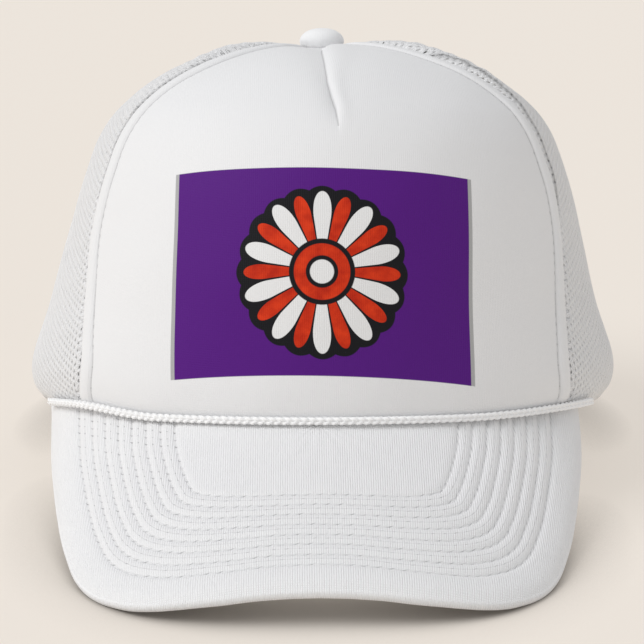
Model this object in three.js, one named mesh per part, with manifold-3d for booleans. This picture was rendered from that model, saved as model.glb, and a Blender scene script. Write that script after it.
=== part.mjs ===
// A trucker hat: a padded front panel with a dart, net sides and back, a curved peak,
// a rope along the peak seam, a covered button, a sweatband and a strap across the rear arch.
// Millimetres and degrees. The crown is shaped with its rim in the plane z = 0, the front
// towards -Y and the right side towards +X, and is then tipped back until it rests on
// the two front corners of the peak and on the strap.
import * as THREE from 'three';
import { mergeVertices } from 'three/addons/utils/BufferGeometryUtils.js';
import Module from 'manifold-3d';

const wasm = await Module();
wasm.setup();

// Crown
const CROWN_HALF_WIDTH = 92;
const CROWN_FRONT_REACH = 98;
const CROWN_BACK_REACH = 99;
const CROWN_HEIGHT = 109.5;
const CROWN_HOLE_RADIUS = 4;
const CROWN_LEAN = 1.2;
const PANEL_THICKNESS = 3;
const NET_THICKNESS = 1;
const SEAM_CLEARANCE = 0.3;
const LINING_CLEARANCE = 0.6;

// Edge strip and dart of the front panel
const STRIP_WIDTH = 6.4;
const STRIP_RAISE = 0.6;
const STRIP_SHOULDER = 1.2;
const DART_LENGTH = 80;
const DART_DEPTH = 2.2;
const DART_HALF_WIDTH = 5;
const DART_LEAN = 5;

// Tapes inside the seams, and the sweatband
const TAPE_WIDTH = 9;
const TAPE_THICKNESS = 1;
const SWEATBAND_HEIGHT = 30;
const SWEATBAND_THICKNESS = 1.5;
const SWEATBAND_EASE_ANGLE = 12;

// Rear arch, its binding and the strap
const ARCH_HALF_WIDTH = 38;
const ARCH_HEIGHT = 47;
const BINDING_WIDTH = 7;
const BINDING_THICKNESS = 2.6;
const BINDING_STANDS_OUT = 0.8;
const STRAP_HEIGHT = 19;
const STRAP_THICKNESS = 1.6;
const STRAP_TUCK = 13;

// Button on top
const BUTTON_RADIUS = 7;
const BUTTON_HEIGHT = 6.6;
const BUTTON_RIM_HEIGHT = 2.4;
const BUTTON_FOOT_RADIUS = 5.7;
const BUTTON_TURN_RADIUS = 6.7;
const BUTTON_STEM_RADIUS = 2.4;
const BUTTON_STEM_LENGTH = 5;

// Peak and rope
const PEAK_HALF_WIDTH = 80.5;
const PEAK_REACH = 72.2;
const PEAK_THICKNESS = 3.2;
const PEAK_SLOPE = 31.5;
const PEAK_OFFSET = -3.1;
const ROPE_RADIUS = 1.4;
const ROPE_PAST_PEAK = 0.8;
const ROPE_SPARE_LIFT = 0.2;

// How much of the strap and of the peak's corners lies flat on the ground
const GROUND_FLAT = 0.6;

// Crown sections from the rim to the top. height, width, front and back are shares of the
// crown's height, half width, front reach and back reach. seam and rear are the angles,
// from straight ahead, of the front panel's edge and of the seam between side and back net.
const CROWN_SECTIONS = [
  { height: 0, width: 0.955, front: 0.99, back: 0.975, seam: 53.5, rear: 118 },
  { height: 0.037, width: 0.988, front: 0.996, back: 0.99, seam: 53.2, rear: 118 },
  { height: 0.082, width: 0.998, front: 1, back: 0.998, seam: 52.7, rear: 118.2 },
  { height: 0.128, width: 0.991, front: 1, back: 1, seam: 52.7, rear: 118.4 },
  { height: 0.183, width: 0.971, front: 1, back: 1, seam: 54, rear: 118.7 },
  { height: 0.265, width: 0.939, front: 0.998, back: 0.995, seam: 56.4, rear: 119 },
  { height: 0.374, width: 0.905, front: 0.99, back: 0.975, seam: 58.9, rear: 119.6 },
  { height: 0.484, width: 0.872, front: 0.97, back: 0.94, seam: 61.2, rear: 120.2 },
  { height: 0.584, width: 0.843, front: 0.94, back: 0.895, seam: 61.8, rear: 120.8 },
  { height: 0.667, width: 0.811, front: 0.9, back: 0.845, seam: 61.8, rear: 121.4 },
  { height: 0.74, width: 0.777, front: 0.85, back: 0.79, seam: 61.6, rear: 122 },
  { height: 0.804, width: 0.73, front: 0.785, back: 0.725, seam: 60.7, rear: 122.6 },
  { height: 0.854, width: 0.672, front: 0.71, back: 0.655, seam: 59.1, rear: 123.2 },
  { height: 0.9, width: 0.6, front: 0.625, back: 0.575, seam: 56.3, rear: 124 },
  { height: 0.941, width: 0.512, front: 0.525, back: 0.485, seam: 52.9, rear: 125 },
  { height: 0.971, width: 0.415, front: 0.42, back: 0.39, seam: 50.1, rear: 126 },
  { height: 0.989, width: 0.315, front: 0.325, back: 0.3, seam: 48.5, rear: 126 },
  { height: 0.998, width: 0.228, front: 0.23, back: 0.215, seam: 47.5, rear: 126 },
  { height: 0.997, width: 0.14, front: 0.14, back: 0.13, seam: 47.5, rear: 126 },
  { height: 0.99, width: 0.065, front: 0.064, back: 0.06, seam: 47.5, rear: 126 },
  { height: 0.9845, width: 0.02, front: 0.019, back: 0.018, seam: 47.5, rear: 126 },
];

// Outer edge of the right half of the peak, from the middle of the front to the tip.
// across is a share of the half width, reach a share of the reach in the middle.
// The peak is sewn on a little to the left, so its own middle is at the peak's offset.
const PEAK_OUTLINE = [
  { across: 0, reach: 1 },
  { across: 0.1, reach: 1.006 },
  { across: 0.216, reach: 1.025 },
  { across: 0.315, reach: 1.053 },
  { across: 0.415, reach: 1.08 },
  { across: 0.485, reach: 1.101 },
  { across: 0.557, reach: 1.121 },
  { across: 0.635, reach: 1.134 },
  { across: 0.7, reach: 1.13 },
  { across: 0.75, reach: 1.118 },
  { across: 0.797, reach: 1.087 },
  { across: 0.838, reach: 1.028 },
  { across: 0.87, reach: 0.942 },
  { across: 0.898, reach: 0.85 },
  { across: 0.924, reach: 0.733 },
  { across: 0.952, reach: 0.581 },
  { across: 0.984, reach: 0.367 },
  { across: 0.997, reach: 0.18 },
  { across: 1, reach: 0.03 },
];

const WHITE_TWILL = { color: 0xefefee, roughness: 0.85, metalness: 0 };
const WHITE_NET = { color: 0xe9e9e9, roughness: 0.7, metalness: 0 };
const WHITE_PLASTIC = { color: 0xf0f0ef, roughness: 0.4, metalness: 0 };

const radians = THREE.MathUtils.degToRad;
const degrees = THREE.MathUtils.radToDeg;
const smooth = (value, low, high) => THREE.MathUtils.smoothstep(value, low, high);

// Evenly spaced shares from 0 to 1, ends included.
function shares(count) {
  return Array.from({ length: count }, (_, i) => i / (count - 1));
}

// Distance up the side of the crown at each section, as a share of the whole way.
function sectionStations() {
  const way = [0];
  for (let i = 1; i < CROWN_SECTIONS.length; i += 1) {
    const last = CROWN_SECTIONS[i - 1];
    const here = CROWN_SECTIONS[i];
    const rise = (here.height - last.height) * CROWN_HEIGHT;
    const run = (here.width - last.width) * CROWN_HALF_WIDTH;
    way.push(way[i - 1] + Math.hypot(rise, run));
  }
  return way.map((length) => length / way[way.length - 1]);
}
const STATIONS = sectionStations();

// A column of the section table at any station, by a cubic through the rows.
function sectionValue(column, station) {
  const last = STATIONS.length - 1;
  let i = 0;
  while (i < last - 1 && station > STATIONS[i + 1]) {
    i += 1;
  }
  const value = (k) => CROWN_SECTIONS[k][column];
  const slope = (k) => {
    const before = Math.max(k - 1, 0);
    const after = Math.min(k + 1, last);
    return (value(after) - value(before)) / (STATIONS[after] - STATIONS[before]);
  };
  const span = STATIONS[i + 1] - STATIONS[i];
  const s = (station - STATIONS[i]) / span;
  const startWeight = 2 * s ** 3 - 3 * s ** 2 + 1;
  const startSlopeWeight = (s ** 3 - 2 * s ** 2 + s) * span;
  const endSlopeWeight = (s ** 3 - s ** 2) * span;
  return startWeight * value(i) + (1 - startWeight) * value(i + 1)
    + startSlopeWeight * slope(i) + endSlopeWeight * slope(i + 1);
}

// A point of the crown's outer surface. angle is 0 at the front and 90 on the right.
// The crown's shoulders lean a little to the right, its rim and its top do not.
function surfacePoint(station, angle) {
  const turn = radians(angle);
  const reach = Math.cos(turn) > 0
    ? sectionValue('front', station) * CROWN_FRONT_REACH
    : sectionValue('back', station) * CROWN_BACK_REACH;
  const height = sectionValue('height', station);
  const width = sectionValue('width', station);
  const lean = smooth(height, 0.2, 0.7) * smooth(width, 0.3, 0.6);
  return new THREE.Vector3(
    width * CROWN_HALF_WIDTH * Math.sin(turn) + CROWN_LEAN * lean,
    -reach * Math.cos(turn),
    height * CROWN_HEIGHT,
  );
}

// The same point moved inwards, square to the surface, by a depth.
function crownPoint(station, angle, depth) {
  const step = 0.002;
  const up = Math.min(station + step, 1);
  const down = Math.max(station - step, 0);
  const rise = surfacePoint(up, angle).sub(surfacePoint(down, angle));
  const round = surfacePoint(station, angle + 1).sub(surfacePoint(station, angle - 1));
  const outward = round.cross(rise).normalize();
  return surfacePoint(station, angle).addScaledVector(outward, -depth);
}

// The angle that a short distance round the crown takes up at a station.
function angleFor(distance, station, angle) {
  const perDegree = surfacePoint(station, angle + 0.5).distanceTo(surfacePoint(station, angle - 0.5));
  return distance / perDegree;
}

// The station where a column reaches a size, found by halving.
function stationWhere(test) {
  let low = 0;
  let high = 1;
  for (let i = 0; i < 40; i += 1) {
    const middle = (low + high) / 2;
    if (test(middle)) {
      high = middle;
    } else {
      low = middle;
    }
  }
  return (low + high) / 2;
}
const stationAtHeight = (height) => stationWhere((s) => sectionValue('height', s) * CROWN_HEIGHT > height);

// The station in the upper half where the half width has shrunk to a size.
const UPPER_HALF = 0.5;
const stationAtWidth = (size) => stationWhere((s) => (
  s > UPPER_HALF && sectionValue('width', s) * CROWN_HALF_WIDTH < size
));
const TOP_STATION = stationAtWidth(CROWN_HOLE_RADIUS);

// A closed wall between two grids of points with the same rows and columns.
function wall(outer, inner) {
  const rows = outer.length;
  const columns = outer[0].length;
  const positions = [outer, inner].flat(2).flatMap((point) => point.toArray());
  const at = (side, row, column) => (side * rows + row) * columns + column;
  const index = [];
  const quad = (a, b, c, d) => index.push(a, b, c, a, c, d);
  for (let r = 0; r < rows - 1; r += 1) {
    for (let c = 0; c < columns - 1; c += 1) {
      quad(at(0, r, c), at(0, r, c + 1), at(0, r + 1, c + 1), at(0, r + 1, c));
      quad(at(1, r, c), at(1, r + 1, c), at(1, r + 1, c + 1), at(1, r, c + 1));
    }
    quad(at(0, r, 0), at(0, r + 1, 0), at(1, r + 1, 0), at(1, r, 0));
    quad(at(0, r + 1, columns - 1), at(0, r, columns - 1), at(1, r, columns - 1), at(1, r + 1, columns - 1));
  }
  for (let c = 0; c < columns - 1; c += 1) {
    quad(at(0, 0, c + 1), at(0, 0, c), at(1, 0, c), at(1, 0, c + 1));
    quad(at(0, rows - 1, c), at(0, rows - 1, c + 1), at(1, rows - 1, c + 1), at(1, rows - 1, c));
  }
  const geometry = new THREE.BufferGeometry();
  geometry.setAttribute('position', new THREE.Float32BufferAttribute(positions, 3));
  geometry.setIndex(index);
  return facingOut(geometry);
}

// Turns every triangle round if the body's volume comes out negative.
function facingOut(geometry) {
  const position = geometry.attributes.position;
  const index = geometry.index.array;
  const corner = [new THREE.Vector3(), new THREE.Vector3(), new THREE.Vector3()];
  let volume = 0;
  for (let i = 0; i < index.length; i += 3) {
    corner.forEach((point, k) => point.fromBufferAttribute(position, index[i + k]));
    volume += corner[0].dot(corner[1].clone().cross(corner[2]));
  }
  if (volume < 0) {
    for (let i = 0; i < index.length; i += 3) {
      [index[i], index[i + 1]] = [index[i + 1], index[i]];
    }
  }
  return geometry;
}

function asSolid(geometry) {
  const bare = geometry.clone();
  bare.deleteAttribute('normal');
  bare.deleteAttribute('uv');
  const merged = mergeVertices(bare, 1e-4);
  return new wasm.Manifold(new wasm.Mesh({
    numProp: 3,
    vertProperties: new Float32Array(merged.attributes.position.array),
    triVerts: new Uint32Array(merged.index.array),
  }));
}

function cutAway(geometry, tool) {
  const mesh = asSolid(geometry).subtract(asSolid(tool)).getMesh();
  const result = new THREE.BufferGeometry();
  result.setAttribute('position', new THREE.Float32BufferAttribute(mesh.vertProperties, 3));
  result.setIndex(Array.from(mesh.triVerts));
  return result;
}

// A band of the crown between two angles and two stations, as a wall of one thickness.
// columnsAt gives the angles of a row, relief how far the outer face stands out.
function crownBand(stations, columnsAt, outerDepth, innerDepth, relief = () => 0) {
  const grid = (depth, raise) => stations.map((station) => (
    columnsAt(station).map((angle) => crownPoint(station, angle, depth(angle) - raise(station, angle)))
  ));
  return wall(grid(outerDepth, relief), grid(innerDepth, () => 0));
}
const between = (from, to, count) => shares(count).map((share) => THREE.MathUtils.lerp(from, to, share));

// Front panel: four columns follow each edge strip and seven the dart, the rest are even.
const seamAngle = (station) => sectionValue('seam', station);
const rearAngle = (station) => sectionValue('rear', station);
const dartStart = stationWhere((s) => (
  surfacePoint(s, 0).distanceTo(surfacePoint(TOP_STATION, 0)) < DART_LENGTH
));

function dartAngle(station) {
  const down = THREE.MathUtils.clamp((TOP_STATION - station) / (TOP_STATION - dartStart), 0, 1);
  return angleFor(DART_LEAN * down, station, 0);
}

function panelColumns(station) {
  const edge = seamAngle(station) - angleFor(SEAM_CLEARANCE / 2, station, seamAngle(station));
  const room = edge / angleFor(1, station, edge);
  const fit = Math.min(1, room / (STRIP_WIDTH + STRIP_SHOULDER + 2 * DART_HALF_WIDTH));
  const strip = [0, STRIP_WIDTH / 2, STRIP_WIDTH, STRIP_WIDTH + STRIP_SHOULDER];
  const dart = [1, 0.5, 0.2].map((share) => share * DART_HALF_WIDTH);
  const fromEdge = strip.map((mm) => edge - angleFor(mm * fit, station, edge));
  const fromDart = dart.map((mm) => angleFor(mm * fit, station, 0));
  const middle = dartAngle(station) * fit;
  const right = between(fromEdge[3], middle + fromDart[0], 10).slice(1, -1);
  const left = between(-fromEdge[3], middle - fromDart[0], 10).slice(1, -1);
  return [
    ...fromEdge.map((angle) => -angle), ...left, ...fromDart.map((angle) => middle - angle),
    middle,
    ...fromDart.reverse().map((angle) => middle + angle), ...right.reverse(), ...fromEdge.reverse(),
  ];
}

function panelRelief(station, angle) {
  const edge = seamAngle(station);
  const perMm = angleFor(1, station, edge);
  const fit = Math.min(1, edge / perMm / (STRIP_WIDTH + STRIP_SHOULDER + 2 * DART_HALF_WIDTH));
  const fromEdge = (edge - Math.abs(angle)) / perMm;
  const strip = 1 - smooth(fromEdge, STRIP_WIDTH * fit, (STRIP_WIDTH + STRIP_SHOULDER) * fit);
  const aboveRim = sectionValue('height', station) * CROWN_HEIGHT;
  const hem = smooth(aboveRim, 0, STRIP_WIDTH);
  const fromTop = sectionValue('width', station) * CROWN_HALF_WIDTH;
  const underButton = smooth(fromTop, BUTTON_RADIUS, 2 * BUTTON_RADIUS);
  const fromDart = Math.abs(angle - dartAngle(station) * fit) / angleFor(1, station, 0);
  const along = smooth(station, dartStart, TOP_STATION - (TOP_STATION - dartStart) / 3);
  const across = 1 - smooth(fromDart, 0, DART_HALF_WIDTH * fit);
  return STRIP_RAISE * strip * hem * underButton - DART_DEPTH * along * across;
}

const crownStations = between(0, TOP_STATION, 20);
const frontPanel = crownBand(
  crownStations, panelColumns, () => 0, () => PANEL_THICKNESS, panelRelief,
);

// Net panels, each between two seams with the clearance shared by both sides.
function netPanel(fromAngle, toAngle, columns) {
  const columnsAt = (station) => {
    const from = fromAngle(station);
    const to = toAngle(station);
    const gap = (angle) => angleFor(SEAM_CLEARANCE / 2, station, angle);
    return between(from + gap(from), to - gap(to), columns);
  };
  return crownBand(crownStations, columnsAt, () => 0, () => NET_THICKNESS);
}
const sideNetRight = netPanel(seamAngle, rearAngle, 11);
const sideNetLeft = netPanel((s) => -rearAngle(s), (s) => -seamAngle(s), 11);
const backNetRight = netPanel(rearAngle, () => 180, 11);
const backNetLeft = netPanel(() => -180, (s) => -rearAngle(s), 11);

// The rear arch is cut out of both back panels, with room for the binding.
function archCutter() {
  const margin = BINDING_WIDTH + SEAM_CLEARANCE;
  const outline = new THREE.Shape();
  outline.moveTo(-(ARCH_HALF_WIDTH + margin), -margin);
  outline.lineTo(ARCH_HALF_WIDTH + margin, -margin);
  outline.lineTo(ARCH_HALF_WIDTH + margin, 0);
  outline.absellipse(0, 0, ARCH_HALF_WIDTH + margin, ARCH_HEIGHT + margin, 0, Math.PI, false, 0);
  const depth = CROWN_BACK_REACH;
  const cutter = new THREE.ExtrudeGeometry(outline, { depth, bevelEnabled: false, curveSegments: 32 });
  cutter.rotateX(Math.PI / 2);
  cutter.translate(0, depth + CROWN_BACK_REACH / 2, 0);
  return cutter;
}

// A point on the back of the crown at a place across and a height, at a depth.
function backPoint(across, height, depth) {
  const station = stationAtHeight(height);
  const halfWidth = sectionValue('width', station) * CROWN_HALF_WIDTH;
  const angle = 180 - degrees(Math.asin(across / halfWidth));
  return crownPoint(station, angle, depth);
}

const archBinding = (() => {
  const turns = between(0, 180, 37);
  const grid = (depth) => [0, BINDING_WIDTH].map((out) => turns.map((turn) => backPoint(
    (ARCH_HALF_WIDTH + out) * Math.cos(radians(turn)),
    (ARCH_HEIGHT + out) * Math.sin(radians(turn)),
    depth,
  )));
  return wall(grid(-BINDING_STANDS_OUT), grid(BINDING_THICKNESS - BINDING_STANDS_OUT));
})();

// The strap lies inside the binding and ends past both feet of the arch.
const strapHalfLength = ARCH_HALF_WIDTH + STRAP_TUCK;
const strapDepth = BINDING_THICKNESS - BINDING_STANDS_OUT + LINING_CLEARANCE;
const strapStations = between(0, stationAtHeight(STRAP_HEIGHT), 5);
function strapColumns() {
  const half = angleFor(strapHalfLength, stationAtHeight(STRAP_HEIGHT / 2), 180);
  return between(180 - half, 180 + half, 17);
}
const snapStrap = crownBand(
  strapStations, strapColumns, () => strapDepth, () => strapDepth + STRAP_THICKNESS,
);

// The sweatband lines the rim from one end of the strap round the front to the other.
// It lies behind the thick panel at the front and closer to the outside behind the net.
function shellDepth(angle) {
  const past = Math.abs(angle) - seamAngle(0);
  const easing = smooth(past, SWEATBAND_EASE_ANGLE / 2, 3 * SWEATBAND_EASE_ANGLE);
  return THREE.MathUtils.lerp(PANEL_THICKNESS, NET_THICKNESS, easing) + LINING_CLEARANCE;
}
const sweatbandEnd = 180 - angleFor(strapHalfLength + 2 * SEAM_CLEARANCE, 0, 180);
const sweatband = crownBand(
  between(0, stationAtHeight(SWEATBAND_HEIGHT), 5),
  () => between(-sweatbandEnd, sweatbandEnd, 49),
  shellDepth,
  (angle) => shellDepth(angle) + SWEATBAND_THICKNESS,
);

// Tapes inside the five seams, from just above the sweatband to the top.
const TAPE_END_WIDTHS = 1.5;
const tapeTop = stationAtWidth(TAPE_END_WIDTHS * TAPE_WIDTH);

function seamTape(middleAngle, depth) {
  const low = stationAtHeight(SWEATBAND_HEIGHT + 2 * SEAM_CLEARANCE);
  const columnsAt = (station) => {
    const middle = middleAngle(station);
    const half = angleFor(TAPE_WIDTH / 2, station, middle);
    return between(middle - half, middle + half, 3);
  };
  return crownBand(between(low, tapeTop, 16), columnsAt, () => depth, () => depth + TAPE_THICKNESS);
}
const underPanel = PANEL_THICKNESS + LINING_CLEARANCE;
const underNet = NET_THICKNESS + LINING_CLEARANCE;
const centreTape = (() => {
  const station = stationAtHeight(ARCH_HEIGHT + BINDING_WIDTH + 2 * SEAM_CLEARANCE);
  const half = (s) => angleFor(TAPE_WIDTH / 2, s, 180);
  return crownBand(
    between(station, tapeTop, 12), (s) => between(180 - half(s), 180 + half(s), 3),
    () => underNet, () => underNet + TAPE_THICKNESS,
  );
})();

// Button: a domed cap over the crown's top, with a stem through the hole in the panels.
function buttonGeometry() {
  const seat = surfacePoint(stationAtWidth(BUTTON_RADIUS), 90).z + SEAM_CLEARANCE;
  const dome = shares(9).map((share) => new THREE.Vector2(
    BUTTON_RADIUS * Math.cos(radians(90 * share)),
    seat + BUTTON_RIM_HEIGHT + (BUTTON_HEIGHT - BUTTON_RIM_HEIGHT) * Math.sin(radians(90 * share)),
  ));
  dome[dome.length - 1].x = 0;
  const profile = [
    new THREE.Vector2(0, seat - BUTTON_STEM_LENGTH),
    new THREE.Vector2(BUTTON_STEM_RADIUS, seat - BUTTON_STEM_LENGTH),
    new THREE.Vector2(BUTTON_STEM_RADIUS, seat),
    new THREE.Vector2(BUTTON_FOOT_RADIUS, seat),
    new THREE.Vector2(BUTTON_TURN_RADIUS, seat + BUTTON_RIM_HEIGHT / 2),
    ...dome,
  ];
  const lathe = new THREE.LatheGeometry(profile, 24);
  lathe.rotateX(Math.PI / 2);
  lathe.deleteAttribute('normal');
  lathe.deleteAttribute('uv');
  return facingOut(mergeVertices(lathe, 1e-4));
}

// Peak: the rim's front curve carried forwards and down along one straight direction.
const RIM_HALF_WIDTH = CROWN_SECTIONS[0].width * CROWN_HALF_WIDTH;
const RIM_FRONT_REACH = CROWN_SECTIONS[0].front * CROWN_FRONT_REACH;
const slope = radians(PEAK_SLOPE);

function rimPoint(across, inwards) {
  const share = Math.min(Math.abs(across) / RIM_HALF_WIDTH, 1) * Math.sign(across);
  const turn = Math.asin(share);
  const normal = new THREE.Vector2(
    Math.sin(turn) / RIM_HALF_WIDTH, -Math.cos(turn) / RIM_FRONT_REACH,
  ).normalize();
  return new THREE.Vector3(
    RIM_HALF_WIDTH * Math.sin(turn) - normal.x * inwards,
    -RIM_FRONT_REACH * Math.cos(turn) - normal.y * inwards,
    -SEAM_CLEARANCE,
  );
}

// A point of the peak's upper face. At the seam the face follows the rim, and at the reach
// of its middle and beyond it is bent evenly about the peak's own middle.
const ahead = new THREE.Vector3(0, -Math.cos(slope), -Math.sin(slope));
function peakPoint(across, reach) {
  const own = THREE.MathUtils.clamp(reach / PEAK_REACH, 0, 1);
  const point = rimPoint(across, 0);
  point.y = THREE.MathUtils.lerp(point.y, rimPoint(across - PEAK_OFFSET, 0).y, own);
  return point.addScaledVector(ahead, reach);
}

function peakGeometry() {
  const half = new THREE.SplineCurve(PEAK_OUTLINE.map((row) => (
    new THREE.Vector2(row.across * PEAK_HALF_WIDTH, row.reach * PEAK_REACH)
  )));
  const columns = between(-1, 1, 41);
  const outline = columns.map((column) => {
    const point = half.getPointAt(Math.abs(column));
    return new THREE.Vector2(PEAK_OFFSET + point.x * Math.sign(column), point.y);
  });
  const onSeam = (column) => PEAK_OFFSET + column * PEAK_HALF_WIDTH;
  const rows = between(0, 1, 10).map((share) => columns.map((column, i) => ({
    across: THREE.MathUtils.lerp(onSeam(column), outline[i].x, share),
    reach: outline[i].y * share,
  })));
  const tab = columns.map((column) => rimPoint(onSeam(column), PANEL_THICKNESS));
  const underTab = tab.map((point) => point.clone().setZ(point.z - PEAK_THICKNESS));
  const top = rows.map((row) => row.map(({ across, reach }) => peakPoint(across, reach)));
  const bottom = rows.map((row) => row.map(({ across, reach }) => {
    const sideways = peakPoint(across + 1, reach).sub(peakPoint(across - 1, reach));
    const down = ahead.clone().cross(sideways).normalize();
    return peakPoint(across, reach).addScaledVector(down, -Math.sign(down.z) * PEAK_THICKNESS);
  }));
  return wall([tab, ...top], [underTab, ...bottom]);
}

// Rope: laid in the corner between the crown's wall and the peak's upper face, from just
// past one end of the peak to just past the other.
function ropeGeometry() {
  const off = ROPE_RADIUS + SEAM_CLEARANCE;
  const lift = off / Math.cos(slope) - off * Math.tan(slope) - SEAM_CLEARANCE + ROPE_SPARE_LIFT;
  const station = stationAtHeight(lift);
  const end = (side) => degrees(Math.asin(
    (PEAK_OFFSET + side * (PEAK_HALF_WIDTH + ROPE_PAST_PEAK)) / RIM_HALF_WIDTH,
  ));
  const path = new THREE.CatmullRomCurve3(between(end(-1), end(1), 39).map((angle) => (
    crownPoint(station, angle, -off)
  )));
  const section = new THREE.Shape();
  section.absarc(0, 0, ROPE_RADIUS, 0, 2 * Math.PI, false);
  const rope = new THREE.ExtrudeGeometry(section, {
    steps: 44, extrudePath: path, bevelEnabled: false, curveSegments: 4,
  });
  rope.deleteAttribute('normal');
  rope.deleteAttribute('uv');
  return facingOut(mergeVertices(rope, 1e-4));
}

// The hat tips back until the peak's corners and the strap touch the ground together.
function lowest(geometry, tip) {
  const position = geometry.attributes.position;
  let height = Infinity;
  for (let i = 0; i < position.count; i += 1) {
    height = Math.min(height, position.getZ(i) * Math.cos(tip) - position.getY(i) * Math.sin(tip));
  }
  return height;
}

function restingTip(frontPiece, rearPiece) {
  let low = 0;
  let high = radians(45);
  for (let i = 0; i < 40; i += 1) {
    const tip = (low + high) / 2;
    if (lowest(frontPiece, tip) < lowest(rearPiece, tip)) {
      low = tip;
    } else {
      high = tip;
    }
  }
  return (low + high) / 2;
}

const peak = peakGeometry();
const tip = restingTip(peak, snapStrap);
const ground = lowest(snapStrap, tip) + GROUND_FLAT;

function groundBlock() {
  const size = 2 * (PEAK_REACH + CROWN_FRONT_REACH + CROWN_BACK_REACH);
  const block = new THREE.BoxGeometry(size, size, size);
  block.translate(0, 0, ground - size / 2);
  block.rotateX(tip);
  return block;
}

const arch = archCutter();
const below = groundBlock();
const pieces = [
  ['front_panel', frontPanel, WHITE_TWILL],
  ['side_net_right', sideNetRight, WHITE_NET],
  ['side_net_left', sideNetLeft, WHITE_NET],
  ['back_net_right', cutAway(backNetRight, arch), WHITE_NET],
  ['back_net_left', cutAway(backNetLeft, arch), WHITE_NET],
  ['seam_tape_front_right', seamTape(seamAngle, underPanel), WHITE_TWILL],
  ['seam_tape_front_left', seamTape((s) => -seamAngle(s), underPanel), WHITE_TWILL],
  ['seam_tape_rear_right', seamTape(rearAngle, underNet), WHITE_TWILL],
  ['seam_tape_rear_left', seamTape((s) => -rearAngle(s), underNet), WHITE_TWILL],
  ['seam_tape_centre', centreTape, WHITE_TWILL],
  ['sweatband', sweatband, WHITE_TWILL],
  ['arch_binding', cutAway(archBinding, below), WHITE_TWILL],
  ['snap_strap', cutAway(snapStrap, below), WHITE_PLASTIC],
  ['button', buttonGeometry(), WHITE_TWILL],
  ['peak', cutAway(peak, below), WHITE_TWILL],
  ['rope', ropeGeometry(), WHITE_TWILL],
];

const hat = new THREE.Group();
hat.rotation.x = -tip;
for (const [name, geometry, finish] of pieces) {
  const mesh = new THREE.Mesh(geometry, new THREE.MeshStandardMaterial(finish));
  mesh.name = name;
  hat.add(mesh);
}

// The origin is on the ground, under the middle of the whole hat.
const group = new THREE.Group();
group.add(hat);
group.updateMatrixWorld(true);
const box = new THREE.Box3().setFromObject(group, true);
const centre = box.getCenter(new THREE.Vector3());
hat.position.set(-centre.x, -centre.y, -ground);

export default group;
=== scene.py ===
"""A white trucker hat at rest: foam backed front panel with a print, net sides and back,
curved peak with stitch rows, braided rope, covered button, sweatband and rear strap.

Sizes are in millimetres and are turned into metres when a piece is placed. The crown is
worked out upright, with its rim level, and is then tipped back onto the corners of its peak."""
import math
import bpy
import numpy as np
from mathutils import Matrix, Vector


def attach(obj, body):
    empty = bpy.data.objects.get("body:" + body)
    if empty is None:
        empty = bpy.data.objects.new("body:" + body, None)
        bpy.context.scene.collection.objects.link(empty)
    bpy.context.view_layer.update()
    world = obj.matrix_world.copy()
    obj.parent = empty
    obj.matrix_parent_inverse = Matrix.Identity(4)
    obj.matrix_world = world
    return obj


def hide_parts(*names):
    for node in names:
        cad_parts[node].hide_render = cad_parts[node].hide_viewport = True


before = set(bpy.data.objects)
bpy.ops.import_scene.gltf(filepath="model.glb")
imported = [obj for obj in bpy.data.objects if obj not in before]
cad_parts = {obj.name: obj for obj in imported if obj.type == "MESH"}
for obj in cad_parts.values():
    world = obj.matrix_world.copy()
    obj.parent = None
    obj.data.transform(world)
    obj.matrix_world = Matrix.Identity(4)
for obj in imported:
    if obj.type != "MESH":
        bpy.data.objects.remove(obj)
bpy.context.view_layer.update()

MM = 0.001


# Camera
# A long lens a little above the table, straight at the front of the hat, as in the photograph.
CAMERA_AZIMUTH, CAMERA_ELEVATION, CAMERA_ROLL = -0.70, 14.67, 0.04
CAMERA_DISTANCE = 829.0
CAMERA_TARGET = (-0.62, 0.0, 47.83)
FOCAL_PIXELS, FRAME_PIXELS, SENSOR = 2720.4, 644, 36.0

camera_data = bpy.data.cameras.new("camera")
camera_data.sensor_width = SENSOR
camera_data.lens = SENSOR * FOCAL_PIXELS / FRAME_PIXELS
camera = bpy.data.objects.new("camera", camera_data)
bpy.context.scene.collection.objects.link(camera)
azimuth, elevation = math.radians(CAMERA_AZIMUTH), math.radians(CAMERA_ELEVATION)
back = Vector((math.sin(azimuth) * math.cos(elevation), -math.cos(azimuth) * math.cos(elevation),
               math.sin(elevation)))
across = Vector((math.cos(azimuth), math.sin(azimuth), 0.0))
upward = back.cross(across)
turn = Matrix((across, upward, back)).transposed() @ Matrix.Rotation(-math.radians(CAMERA_ROLL), 3, "Z")
camera.matrix_world = (
    Matrix.Translation((Vector(CAMERA_TARGET) + CAMERA_DISTANCE * back) * MM) @ turn.to_4x4())
bpy.context.scene.camera = camera
bpy.context.scene.view_settings.view_transform = "Standard"


# Table and light
# A wide pale warm floor with painted light: it glows by emission, and ambient occlusion dims
# the glow where the hat stands over or near it, a painted shadow under and round the hat.
# Soft lights: one like a large window at the upper left, and a weak fill.
FLOOR_SIZE = 6.0
FLOOR_COLOUR, FLOOR_GLOW = (0.325, 0.30, 0.273, 1.0), (0.84, 0.775, 0.70, 1.0)
GLOW_STRENGTH, GLOW_REACH = 0.62, 0.020
FILL_PLACE, FILL_AIM, FILL_SIZE, FILL_WATTS = (1.3, -1.5, 0.2), (0.0, 0.0, 0.05), 1.2, 2.2
WINDOW_WAY, WINDOW_STRENGTH, WINDOW_SPREAD = (0.68, 0.20, -0.71), 1.50, math.radians(40)
SKY_COLOUR, SKY_STRENGTH = (0.98, 0.985, 1.0, 1.0), 0.58


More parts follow.
